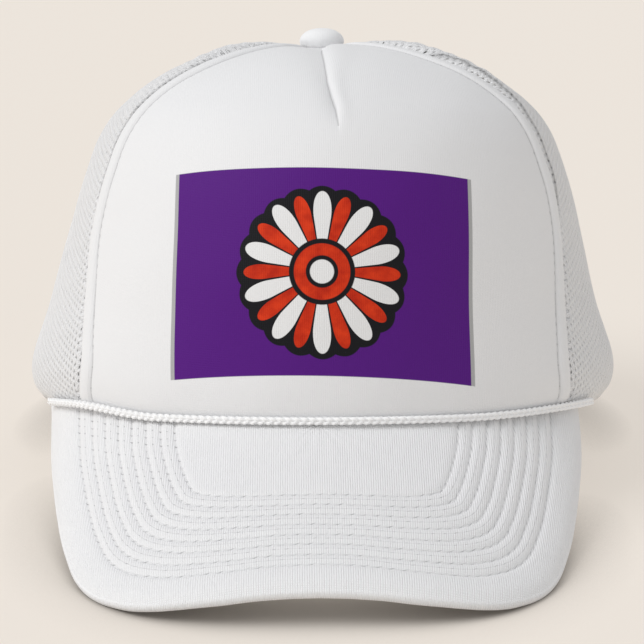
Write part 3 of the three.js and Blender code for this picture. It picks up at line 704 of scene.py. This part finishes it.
def net_panel(name, low_angle, high_angle, front_sign, replaced, puff=0.0):
    """A panel of net: the honeycomb is laid out flat, across from the panel's middle line and
    up from the rim, leaned so that its columns fall away from the front seam, kept where it is
    inside the panel, and bent over the crown."""
    lean = np.array([[1.0, 0.0], [-NET_SLANT * front_sign, 1.0]])

    def bounds_at(climb):
        up = np.interp(climb, front_climb, ladder)
        low, high = low_angle(up), high_angle(up)
        middle = (low + high) / 2
        scale = per_degree(up, middle)
        return up, middle, scale, (low - middle) * scale, (high - middle) * scale

    straight = honeycomb(60, 110, NET_PITCH)
    middles = straight @ lean.T
    within = (middles[:, 1] > 0.5 * NET_PITCH) & (middles[:, 1] < front_climb[-1])
    straight, middles = straight[within], middles[within]
    _, _, _, left, right = bounds_at(middles[:, 1])
    inside = (middles[:, 0] > left + 0.5 * NET_PITCH) & (middles[:, 0] < right - 0.5 * NET_PITCH)
    straight, middles = straight[inside], middles[inside]
    if not front_sign:
        up, middle, scale, _, _ = bounds_at(middles[:, 1])
        at = surface(up, middle + middles[:, 0] / scale)
        wide, tall = ARCH_HALF_WIDTH + 2.5, ARCH_HEIGHT + 2.5
        clear = (at[:, 0] / wide) ** 2 + (np.maximum(at[:, 2], 0) / tall) ** 2 > 1
        straight, middles = straight[clear], middles[clear]
    corner = np.radians(60 * np.arange(6))
    star = np.stack([np.cos(corner), np.sin(corner)], axis=-1)
    rim = straight[:, None, :] + star[None] * NET_PITCH / math.sqrt(3)
    stagger = 0.85 + 0.3 * np.abs(np.sin(straight[:, 0] * 1.7 + straight[:, 1] * 2.9))
    hole = straight[:, None, :] + star[None] * np.array([HOLE_WIDE, HOLE_LONG]) * stagger[:, None, None]
    keys = np.round(rim.reshape(-1, 2) / 0.05).astype(np.int64)
    _, first, shared = np.unique(keys[:, 0] * 100003 + keys[:, 1], return_index=True, return_inverse=True)
    flat_rim = rim.reshape(-1, 2)[first]
    shared = shared.reshape(-1, 6)
    count_rim, count = len(flat_rim), len(middles)
    hole_number = count_rim + np.arange(count * 6).reshape(count, 6)
    next_rim, next_hole = np.roll(shared, -1, 1), np.roll(hole_number, -1, 1)
    ring = np.stack([shared, next_rim, next_hole, hole_number], axis=-1).reshape(-1, 4)
    total = count_rim + count * 6
    wall = np.stack([hole_number, next_hole, next_hole + total, hole_number + total],
                    axis=-1).reshape(-1, 4)
    start, end = shared.ravel(), next_rim.ravel()
    lone = ~np.isin(start * (count_rim + 1) + end, end * (count_rim + 1) + start)
    edge = np.stack([end[lone], start[lone], start[lone] + total, end[lone] + total], axis=-1)
    straight_all = np.concatenate([flat_rim, hole.reshape(-1, 2)])
    flat = straight_all @ lean.T
    free = np.zeros(total, bool)
    free[start[lone]] = free[end[lone]] = True
    flat[free & (flat[:, 1] < EDGE_CATCH), 1] = RIM_CLEAR
    _, _, _, left, right = bounds_at(flat[:, 1])
    to_left, to_right = flat[:, 0] - left, right - flat[:, 0]
    near_left = free & (to_left < EDGE_CATCH) & (to_left < to_right)
    near_right = free & (to_right < EDGE_CATCH) & (to_right <= to_left)
    flat[near_left, 0] = left[near_left] + SEAM_GAP / 2
    flat[near_right, 0] = right[near_right] - SEAM_GAP / 2
    up, middle, scale, left, right = bounds_at(flat[:, 1])
    at_angle = middle + flat[:, 0] / scale
    from_front = np.full(len(flat), 99.0)
    if front_sign:
        from_front = (flat[:, 0] - left) if front_sign > 0 else (right - flat[:, 0])
    lift = net_relief(up, at_angle, from_front, puff)
    midway = smooth_step(up, 0.30, 0.48) * (1 - smooth_step(up, 0.70, 0.82))
    tuck = (2.0 - 1.2 * midway) * np.exp(-np.maximum(from_front, 0) / 1.5) if front_sign else 0.0
    from_edge = np.minimum(flat[:, 0] - left, right - flat[:, 0])
    depth = tuck - lift * smooth_step(from_edge, 0.0, 3.0 - 2.0 * smooth_step(up, 0.80, 0.95))
    level = np.zeros(total)
    level[count_rim:] = 0.12
    outer = crown(up, at_angle, depth + level)
    inner = crown(up, at_angle, depth + NET_THICKNESS - level)
    faces = np.concatenate([ring, ring[:, ::-1] + total, wall, edge])
    # The distance beside the seam places that band of painted shade: shifted away from the seam at mid
    # height, more on the right, and pushed off the net near the top.
    beside = ((from_front - 0.5 - (3.4 if front_sign > 0 else 0.6) * midway) / (1 + 0.6 * midway)
              + 5.0 * smooth_step(up, 0.74, 0.84))
    seam_place = np.stack([(flat[:, 1] - SEAM_START) / SEAM_PITCH + 0.5, beside], axis=-1)
    add_piece(name, np.concatenate([outer, inner]), faces, [net_material], "white_net", [replaced],
              {"cloth": straight_all, "stitch": seam_place})


def seam_angle(up):
    return section("seam", up)


def rear_angle(up):
    return section("rear", up)


net_panel("net_side_right", seam_angle, rear_angle, 1, "side_net_right", PUFF_RIGHT)
net_panel("net_side_left", lambda up: -rear_angle(up), lambda up: -seam_angle(up), -1, "side_net_left",
          PUFF_LEFT)
net_panel("net_back_right", rear_angle, lambda up: 180 + 0 * up, 0, "back_net_right")
net_panel("net_back_left", lambda up: -180 + 0 * up, lambda up: -rear_angle(up), 0, "back_net_left")


# Seam stitches
# The seams between the front panel and the net are sewn over and over: small white bars that
# cross the dark gap, about two and a half millimetres apart.
BAR_LENGTH, BAR_RADIUS, BAR_DEPTH, BAR_SLANT = 1.8, 0.28, 0.65, 0.0015
up = np.interp(np.arange(SEAM_START, front_climb[-1] - 12.0, SEAM_PITCH), front_climb, ladder)
steps = np.linspace(-1, 1, 5)
bars = []
for sign in (-1, 1):
    centre_angle = sign * seam_angle(up)
    reach = sign * BAR_LENGTH / 2 / per_degree(up, centre_angle)
    line = crown(up[:, None] + BAR_SLANT * steps, centre_angle[:, None] + reach[:, None] * steps,
                 BAR_DEPTH + 0.5 * steps**2 + 0 * up[:, None])
    normal = outward(up, centre_angle)[:, None]
    bars.append(capsules(line, np.cross(normal, unit(line[:, -1:] - line[:, :1])), normal, BAR_RADIUS))
add_piece("seam_stitches", *joined(bars), [thread], "white_net")


# Button
# A metal button covered with the white cloth, drawn tight over the dome and gathered under
# its edge, with its stem through the top of the crown.
BUTTON_RADIUS, BUTTON_HEIGHT, STEM_RADIUS, STEM_LENGTH = 7.0, 6.6, 2.4, 5.0
button_cloth = ribbed_cloth("button_cloth", (0.93, 0.93, 0.935, 1.0), 0.55).material
seat = float(surface(station_at_width(BUTTON_RADIUS), 90.0)[2]) + SEAM_GAP
rim_height = 2.4
rising = np.linspace(0, np.pi / 2, 40)
profile = np.concatenate([
    [(0.01, seat - STEM_LENGTH), (STEM_RADIUS, seat - STEM_LENGTH), (STEM_RADIUS, seat)],
    np.stack([np.linspace(3.5, 0.80 * BUTTON_RADIUS, 6), np.full(6, seat)], axis=-1),
    [(0.88 * BUTTON_RADIUS, seat + 0.2), (0.95 * BUTTON_RADIUS, seat + 0.9)],
    np.stack([BUTTON_RADIUS * np.cos(rising) ** 0.9,
              seat + rim_height + (BUTTON_HEIGHT - rim_height) * np.sin(rising)], axis=-1)])
around = np.linspace(0, 2 * np.pi, 97)[:-1]
gather = 0.10 * np.sin(14 * around) * np.exp(-((profile[:, 1, None] - seat - 0.8) / 1.4) ** 2)
reach = np.maximum(profile[:, 0, None] + gather * (profile[:, 0, None] > 4), 0.01)
points = np.stack([reach * np.cos(around), reach * np.sin(around), profile[:, 1, None] + 0 * around],
                  axis=-1)
number = np.arange(points[..., 0].size).reshape(points.shape[:2])
after = np.roll(number, -1, axis=1)
quads = tube_quads(number)
triangles = np.concatenate([
    quads[:, [0, 1, 2]], quads[:, [0, 2, 3]],
    np.stack([np.full(96, number.size), after[0], number[0]], axis=-1),
    np.stack([np.full(96, number.size + 1), number[-1], after[-1]], axis=-1)])
points = np.concatenate([points.reshape(-1, 3), [[0, 0, profile[0, 1]], [0, 0, profile[-1, 1]]]])
add_piece("button_cap", points, triangles, [button_cloth], "white_cloth", ["button"],
          {"cloth": points[:, :2]})


# Peak
# Two layers of the white cloth over padding and a curved board, turned in along the edge and
# quilted with eight rows of stitches that follow the edge. It is bent like part of a tube.
RIM_HALF_WIDTH, RIM_REACH = 0.955 * HALF_WIDTH, 0.99 * FRONT_REACH
PEAK_HALF_WIDTH, PEAK_REACH, PEAK_THICKNESS, PEAK_SLOPE = 80.5, 72.2, 3.2, math.radians(31.5)
PEAK_OFFSET = -3.1
PEAK_OUTLINE = np.array([
    # across, reach
    (0, 1.0), (0.1, 1.006), (0.216, 1.025), (0.315, 1.053), (0.415, 1.08), (0.485, 1.101),
    (0.557, 1.121), (0.635, 1.134), (0.7, 1.13), (0.75, 1.118), (0.797, 1.087), (0.838, 1.028),
    (0.87, 0.942), (0.898, 0.85), (0.924, 0.733), (0.952, 0.581), (0.984, 0.367), (0.997, 0.18),
    (1.0, 0.03), (1.0, -0.035)])
STITCH_ROWS = np.array([
    # half width at the seam, reach in the middle
    (69.5, 61.0), (65.3, 56.9), (61.4, 52.5), (57.5, 48.5), (53.4, 44.2), (49.2, 39.9),
    (44.8, 35.8), (40.6, 31.5)])
PEAK_STITCH_PITCH = 3.5
bow_widths = np.array([0.0, 40.6, 49.2, 57.5, 65.3, 69.5, 80.5])
bow_shares = np.array([0.3, 0.4, 0.55, 0.76, 0.9, 1.0, 1.0])


outline_way = way_along(PEAK_OUTLINE * (PEAK_HALF_WIDTH, PEAK_REACH))
outline_way = outline_way / outline_way[-1]


def peak_plan(width, share):
    """Across and forward distance on the peak: the outline's shape scaled to a half width at
    the seam, with the middle reach that goes with it and less bow towards the inside."""
    across_share = spline(outline_way, PEAK_OUTLINE[:, 0], np.abs(share)) * np.sign(share)
    reach_share = spline(outline_way, PEAK_OUTLINE[:, 1], np.abs(share))
    widths = np.concatenate([[0.0], STITCH_ROWS[::-1, 0], [PEAK_HALF_WIDTH]])
    reaches = np.concatenate([[0.0], STITCH_ROWS[::-1, 1], [PEAK_REACH]])
    reach = np.interp(width, widths, reaches)
    bow = np.interp(width, bow_widths, bow_shares)
    fall = np.where(reach_share > 1, (reach_share - 1) * bow + 1, reach_share)
    return across_share * width, fall * reach


def peak_point(x, forward, lift):
    """The rim's front curve carried forwards and down along one straight direction, and moved
    square to the peak's face by a lift. The peak is sewn on a little to the left: at the seam
    it follows the rim there, and further forward it is bent evenly about its own middle."""
    own = np.clip(forward / PEAK_REACH, 0, 1)

    def rim(at):
        return -RIM_REACH * np.sqrt(np.maximum(1 - (at / RIM_HALF_WIDTH) ** 2, 0.0))

    def bend(at):
        return (1 - own) * rim(at + PEAK_OFFSET) + own * rim(at)

    ahead = np.array([0.0, -math.cos(PEAK_SLOPE), -math.sin(PEAK_SLOPE)])
    tangent = np.stack([0 * x + 2.0, bend(x + 1) - bend(x - 1), 0 * x], axis=-1)
    normal = np.cross(ahead[None], tangent.reshape(-1, 3)).reshape(tangent.shape)
    normal = unit(normal * np.sign(normal[..., 2:3]))
    base = np.stack([x + PEAK_OFFSET, bend(x), 0 * x - SEAM_GAP], axis=-1) + ahead * forward[..., None]
    return base + normal * lift[..., None], normal


ROW_HALF_GAP, VALLEY, EDGE_FALL, EDGE_WIDTH = 2.05, 0.58, 1.1, 5.5


def edge_fall(width):
    """How far the peak's face turns down towards its edge."""
    return EDGE_FALL * (1 - np.minimum((PEAK_HALF_WIDTH - width) / EDGE_WIDTH, 1)) ** 2


def peak_relief(width, share):
    """Quilting: a soft roll of padding between each pair of stitch rows, which falls to a crisp
    valley at the row, a broad roll outside the last row that turns down towards the edge, and
    slow unevenness."""
    nearest = np.abs(width[..., None] - STITCH_ROWS[:, 0]).min(axis=-1)
    roll = VALLEY * (1 - (1 - np.minimum(nearest / ROW_HALF_GAP, 1)) ** 2)
    margin = 0.35 * np.sin(np.pi * np.clip((width - STITCH_ROWS[0, 0]) / 11.0, 0, 1))
    uneven = 0.07 * np.sin(width / 5.0 + share * 9.0) * np.sin(share * 23.0 + 0.6)
    return roll - VALLEY + margin - edge_fall(width) + uneven


def corner_rise(x, forward):
    """The peak's left corner is sewn on a little higher than its right one."""
    return 1.5 * smooth_step(-x, 50.0, 70.0) * np.exp(-np.maximum(forward, 0) / 10.0)


peak_nodes = ribbed_cloth("peak_cloth", (0.915, 0.915, 0.92, 1.0), 0.64, 0.9)
# Painted shade along the valley of each stitch row and at its needle holes.
painted_stitch_shade(peak_nodes, PEAK_STITCH_PITCH, 0.46, 0.55, 0.4, 0.18)
EDGE_ROUND = 1.1
row_steps = np.array([1.5, 0.8, 0.4, 0.18, 0.0, -0.18, -0.4, -0.8, -1.5])
widths = np.concatenate([np.linspace(PEAK_HALF_WIDTH - EDGE_ROUND, 71.6, 12),
                         (STITCH_ROWS[:, :1] + row_steps[None, :]).ravel(), np.linspace(38.0, 0.05, 20)])
shares = np.linspace(-1, 1, 400)
width_grid, share_grid = np.meshgrid(widths, shares, indexing="ij")
plan_x, plan_forward = peak_plan(width_grid, share_grid)
relief = peak_relief(width_grid, share_grid)
top, _ = peak_point(plan_x, plan_forward, relief + corner_rise(plan_x, plan_forward))
row_way = way_along(top)
nearest_row = np.abs(width_grid[..., None] - STITCH_ROWS[:, 0]).argmin(axis=-1)
stitch_ways = np.array([row_way[np.argmin(np.abs(widths - width)), -1] for width in STITCH_ROWS[:, 0]])
stitch_counts = (stitch_ways / PEAK_STITCH_PITCH).astype(int)
stitch_place = np.stack([
    row_way / stitch_ways[nearest_row] * stitch_counts[nearest_row],
    width_grid - STITCH_ROWS[nearest_row, 0]], axis=-1)
under, _ = peak_point(plan_x, plan_forward, -PEAK_THICKNESS - 0.4 * (relief + edge_fall(width_grid)))
turns = np.linspace(0, np.pi, 9)[1:-1, None]
edge_x, edge_forward = peak_plan(np.full(shares.shape, PEAK_HALF_WIDTH - EDGE_ROUND), shares)
outmost_x, outmost_forward = peak_plan(np.full(shares.shape, PEAK_HALF_WIDTH), shares)
edge_top = float(peak_relief(np.array(PEAK_HALF_WIDTH - EDGE_ROUND), np.array(0.0)))
lift = (edge_top - (PEAK_THICKNESS + edge_top) * (1 - np.cos(turns)) / 2
        + corner_rise(edge_x, edge_forward) * (1 + np.cos(turns)) / 2)
rounding, _ = peak_point(edge_x + (outmost_x - edge_x) * np.sin(turns),
                         edge_forward + (outmost_forward - edge_forward) * np.sin(turns), lift)
loop = np.concatenate([top[::-1], rounding, under])
number = np.arange(loop[..., 0].size).reshape(loop.shape[:2])
innermost = np.stack([number[0, :-1], number[-1, :-1], number[-1, 1:], number[0, 1:]], axis=-1)
quads = np.concatenate([grid_quads(number), cap_quads(number[:, 0]), cap_quads(number[:, -1])[:, ::-1],
                        innermost])
top_place = np.stack([plan_x, plan_forward], axis=-1)
round_place = np.stack(np.broadcast_arrays(
    edge_x, edge_forward + 0.7 * np.arange(len(turns))[:, None]), axis=-1)
cloth_place = np.concatenate([top_place[::-1], round_place, top_place]).reshape(-1, 2)
# The rounded edge gets a stitch place far from any row, so no painted shade falls there.
no_row = np.full(round_place.shape, 9.0)
stitch_place = np.concatenate([stitch_place[::-1], no_row, stitch_place]).reshape(-1, 2)
add_piece("peak_cloth_and_board", loop.reshape(-1, 3), quads, [peak_nodes.material], "white_cloth",
          ["peak"], {"cloth": cloth_place, "stitch": stitch_place})

rows = []
for (width, _), count in zip(STITCH_ROWS, stitch_counts):
    at_width = np.full(shares.shape, width)
    x, forward = peak_plan(at_width, shares)
    line, normal = peak_point(x, forward, peak_relief(at_width, shares) + corner_rise(x, forward))
    rows.append(stitches(line, normal, count))
add_piece("peak_stitch_rows", *joined(rows), [thread], "white_cloth")


# Rope
# A round braided cord, sewn down all along the seam between the crown and the peak, with its
# ends tucked under and a little higher. Its braid is columns of slanting lobes, mirrored in turn.
ROPE_RADIUS, ROPE_PAST_PEAK, ROPE_RISES = 1.35, (-2.8, 0.8), (2.0, 1.3)
BRAID_COLUMNS, LOBE_PITCH, LOBE_DEPTH = 4, 2.3, 0.62
ROPE_LIFT = ((ROPE_RADIUS + SEAM_GAP) / math.cos(PEAK_SLOPE)
             - (ROPE_RADIUS + SEAM_GAP) * math.tan(PEAK_SLOPE) - SEAM_GAP + 0.2)
n = Nodes("braided_cord")
fibre = n.grain(2200.0, 4.0)
n.finish(Base_Color=n.mix(fibre, (0.90, 0.90, 0.90, 1.0), (0.96, 0.96, 0.96, 1.0)), Roughness=0.6,
         Normal=n.bump(fibre, 0.5, 0.0002), Sheen_Weight=0.1)
cord_material = n.material

rope_ends = [math.degrees(math.asin((PEAK_OFFSET + side * (PEAK_HALF_WIDTH + past)) / RIM_HALF_WIDTH))
             for side, past in zip((-1, 1), ROPE_PAST_PEAK)]
rope_angles = np.linspace(*rope_ends, 1500)
rope_across = RIM_HALF_WIDTH * np.sin(np.radians(rope_angles))
rope_heights = (ROPE_LIFT + ROPE_RISES[0] * smooth_step(-rope_across, 48.0, 70.0)
                - 0.4 * ROPE_RISES[0] * smooth_step(-rope_across, 71.0, 83.0)
                + ROPE_RISES[1] * smooth_step(rope_across, 40.0, 80.0))
rope_line = crown(station_at_height(rope_heights), rope_angles,
                  np.full(rope_angles.shape, -(ROPE_RADIUS + SEAM_GAP)))
rope_way = way_along(rope_line)
steps = np.linspace(0, rope_way[-1], 1100)
centre = np.stack([np.interp(steps, rope_way, rope_line[:, k]) for k in range(3)], axis=-1)
ahead = unit(np.gradient(centre, axis=0))
up = unit(np.cross(ahead, np.cross(np.array([0.0, 0.0, 1.0]), ahead)))
sideways = np.cross(ahead, up)
round_count = 40
turned = np.linspace(0, 2 * np.pi, round_count + 1)[:-1]
column = turned / (2 * np.pi) * BRAID_COLUMNS
number_in = np.floor(column)
in_column = column - number_in - 0.5
slant = np.where(number_in % 2 == 0, 1.0, -1.0)
wave = np.cos(2 * np.pi * (steps[:, None] / LOBE_PITCH + slant * in_column * 0.6 + 0.5 * (number_in % 2)))
lobe = np.clip(0.5 + 0.5 * wave, 0, 1) ** 0.7 * np.cos(np.pi * in_column) ** 0.5
tuck_in = smooth_step(np.minimum(steps, steps[-1] - steps), 0.0, 2.2)[:, None]
reach = (ROPE_RADIUS - LOBE_DEPTH * (1 - lobe)) * (0.15 + 0.85 * tuck_in)
points = centre[:, None] + reach[..., None] * (np.cos(turned)[None, :, None] * sideways[:, None]
                                               + np.sin(turned)[None, :, None] * up[:, None])
number = np.arange(len(steps) * round_count).reshape(-1, round_count)
quads = np.concatenate([tube_quads(number)[:, ::-1], cap_quads(number[0]),
                        cap_quads(number[-1])[:, ::-1]])
add_piece("rope_braid", points.reshape(-1, 3), quads, [cord_material], "white_cord", ["rope"])


# Sweatband and seam tapes
# Woven white tapes inside the crown: a wide band sewn in round the rim from one end of the
# strap to the other, and narrow ones over the five seams.
BAND_HEIGHT, BAND_THICKNESS, LINING_GAP, EASE = 30.0, 1.5, 0.6, 12.0
STRAP_TUCK, TAPE_WIDTH, TAPE_THICKNESS, NET_DEPTH = 13.0, 9.0, 1.0, 1.0
tape_cloth = ribbed_cloth("white_tape", (0.83, 0.83, 0.82, 1.0), 0.5, 0.5, 0.8).material


def tape(name, stations, columns_at, depth_of, thickness, replaced):
    """A band between two edges: rows up the crown, columns across the tape, its corners
    rounded by drawing its edges a little inwards."""
    at_angle = columns_at(stations)
    up = stations[:, None] + 0 * at_angle
    depth = depth_of(at_angle)
    round_off = 0.25 * thickness * np.abs(np.linspace(-1, 1, at_angle.shape[1])) ** 12
    outer = crown(up, at_angle, depth + round_off)
    inner = crown(up, at_angle, depth + thickness - round_off)
    points, quads, _ = closed_wall(outer, inner)
    place = np.stack([at_angle * per_degree(up, at_angle), climb_at(up)], axis=-1).reshape(-1, 2)
    add_piece(name, points, quads, [tape_cloth], "white_tape", [replaced], {"cloth": place})


def shell_depth(at_angle):
    """How deep the sweatband lies: under the thick panel in front, closer to the net behind."""
    past = np.abs(at_angle) - SECTIONS[0, COLUMN["seam"]]
    easing = smooth_step(past, EASE / 2, 3 * EASE)
    return PANEL_THICKNESS + (NET_DEPTH - PANEL_THICKNESS) * easing + LINING_GAP


strap_half = ARCH_HALF_WIDTH + STRAP_TUCK
band_end = 180 - (strap_half + 2 * SEAM_GAP) / float(per_degree(0.0, 180.0))
band_top = float(station_at_height(BAND_HEIGHT))
tape("sweatband_cloth", np.linspace(0, band_top, 24),
     lambda up: np.linspace(-band_end, band_end, 300)[None, :] + 0 * up[:, None],
     shell_depth, BAND_THICKNESS, "sweatband")

tape_low = float(station_at_height(BAND_HEIGHT + 2 * SEAM_GAP))
tape_high = float(station_at_width(1.5 * TAPE_WIDTH))
centre_low = float(station_at_height(ARCH_HEIGHT + BINDING_WIDTH + 2 * SEAM_GAP))
seams = {
    "seam_tape_front_right": (seam_angle, PANEL_THICKNESS, tape_low),
    "seam_tape_front_left": (lambda up: -seam_angle(up), PANEL_THICKNESS, tape_low),
    "seam_tape_rear_right": (rear_angle, NET_DEPTH, tape_low),
    "seam_tape_rear_left": (lambda up: -rear_angle(up), NET_DEPTH, tape_low),
    "seam_tape_centre": (lambda up: 180 + 0 * up, NET_DEPTH, centre_low),
}
for name, (middle_of, shell, low) in seams.items():
    def columns_at(up, middle_of=middle_of):
        middle = middle_of(up)[:, None]
        half_width = TAPE_WIDTH / 2 / per_degree(up, middle_of(up))[:, None]
        return middle + half_width * np.linspace(-1, 1, 13)[None, :]

    tape(name + "_cloth", np.linspace(low, tape_high, 90), columns_at,
         lambda at_angle, shell=shell: np.full(at_angle.shape, shell + LINING_GAP), TAPE_THICKNESS, name)


# Arch binding and strap
# The rear arch is bound with a folded tape. A strap of white moulded plastic crosses it, with
# a row of small studs snapped through holes.
BINDING_THICKNESS, BINDING_OUT = 2.6, 0.8
STRAP_HEIGHT, STRAP_THICKNESS = 19.0, 1.6
STUDS, STUD_SPACING, STUD_RADIUS, STUD_STANDS = 7, 11.0, 2.0, 0.9


def back_point(across_mm, height, depth):
    """A point on the back of the crown at a place across and a height."""
    up = station_at_height(height)
    half_width = section("width", up) * HALF_WIDTH
    return crown(up, 180 - np.degrees(np.arcsin(across_mm / half_width)), depth)


def blunt(wave, power):
    """A wave with flatter tops: its size to a power under one, with its own sign."""
    return np.sign(wave) * np.abs(wave) ** power


round_arch = np.radians(np.linspace(0.6, 179.4, 200))
turned = np.linspace(0, 2 * np.pi, 25)[:-1, None]
out = BINDING_WIDTH / 2 * (1 + blunt(np.cos(turned), 0.5))
depth = BINDING_THICKNESS / 2 * (1 - blunt(np.sin(turned), 0.6)) - BINDING_OUT
loop = back_point((ARCH_HALF_WIDTH + out) * np.cos(round_arch), (ARCH_HEIGHT + out) * np.sin(round_arch),
                  depth + 0 * round_arch)
number = np.arange(loop[..., 0].size).reshape(loop.shape[:2])
quads = np.concatenate([tube_quads(number.T), cap_quads(number[:, 0]), cap_quads(number[:, -1])[:, ::-1]])
place = np.stack(np.broadcast_arrays(np.arange(len(loop))[:, None] * 0.9, round_arch * 45), axis=-1)
add_piece("arch_binding_tape", loop.reshape(-1, 3), quads, [tape_cloth], "white_tape",
          ["arch_binding"], {"cloth": place.reshape(-1, 2)})

n = Nodes("white_plastic")
mottle = n.grain(300.0)
n.finish(Base_Color=n.mix(mottle, (0.82, 0.82, 0.81, 1.0), (0.86, 0.86, 0.85, 1.0)), Roughness=0.38,
         Normal=n.bump(mottle, 0.15, 0.0001))
plastic = n.material

strap_depth = BINDING_THICKNESS - BINDING_OUT + LINING_GAP
strap_top = float(station_at_height(STRAP_HEIGHT))
strap_middle = float(station_at_height(STRAP_HEIGHT / 2))
half_turn = strap_half / float(per_degree(strap_middle, 180.0))
up = np.linspace(0.0, strap_top, 24)[:, None]
up, at_angle = np.broadcast_arrays(up, np.linspace(180 - half_turn, 180 + half_turn, 260))
from_middle = (at_angle - 180) * float(per_degree(strap_middle, 180.0))
share_up = (up / strap_top) * 2 - 1
bead = 0.25 * smooth_step(np.abs(share_up), 0.72, 0.86)
stud_place = (np.arange(STUDS) - (STUDS - 1) / 2) * STUD_SPACING
away = np.hypot(from_middle[..., None] - stud_place, (share_up * STRAP_HEIGHT / 2)[..., None]).min(axis=-1)
stud = STUD_STANDS * smooth_step(away, STUD_RADIUS, STUD_RADIUS - 0.7)
ring = -0.35 * np.exp(-((away - STUD_RADIUS - 0.6) / 0.35) ** 2)
outer = crown(up, at_angle, strap_depth - stud - ring - bead + 0.25)
inner = crown(up, at_angle, np.full(up.shape, strap_depth + STRAP_THICKNESS))
points, quads, _ = closed_wall(outer, inner)
add_piece("strap_band", points, quads, [plastic], "white_plastic", ["snap_strap"])
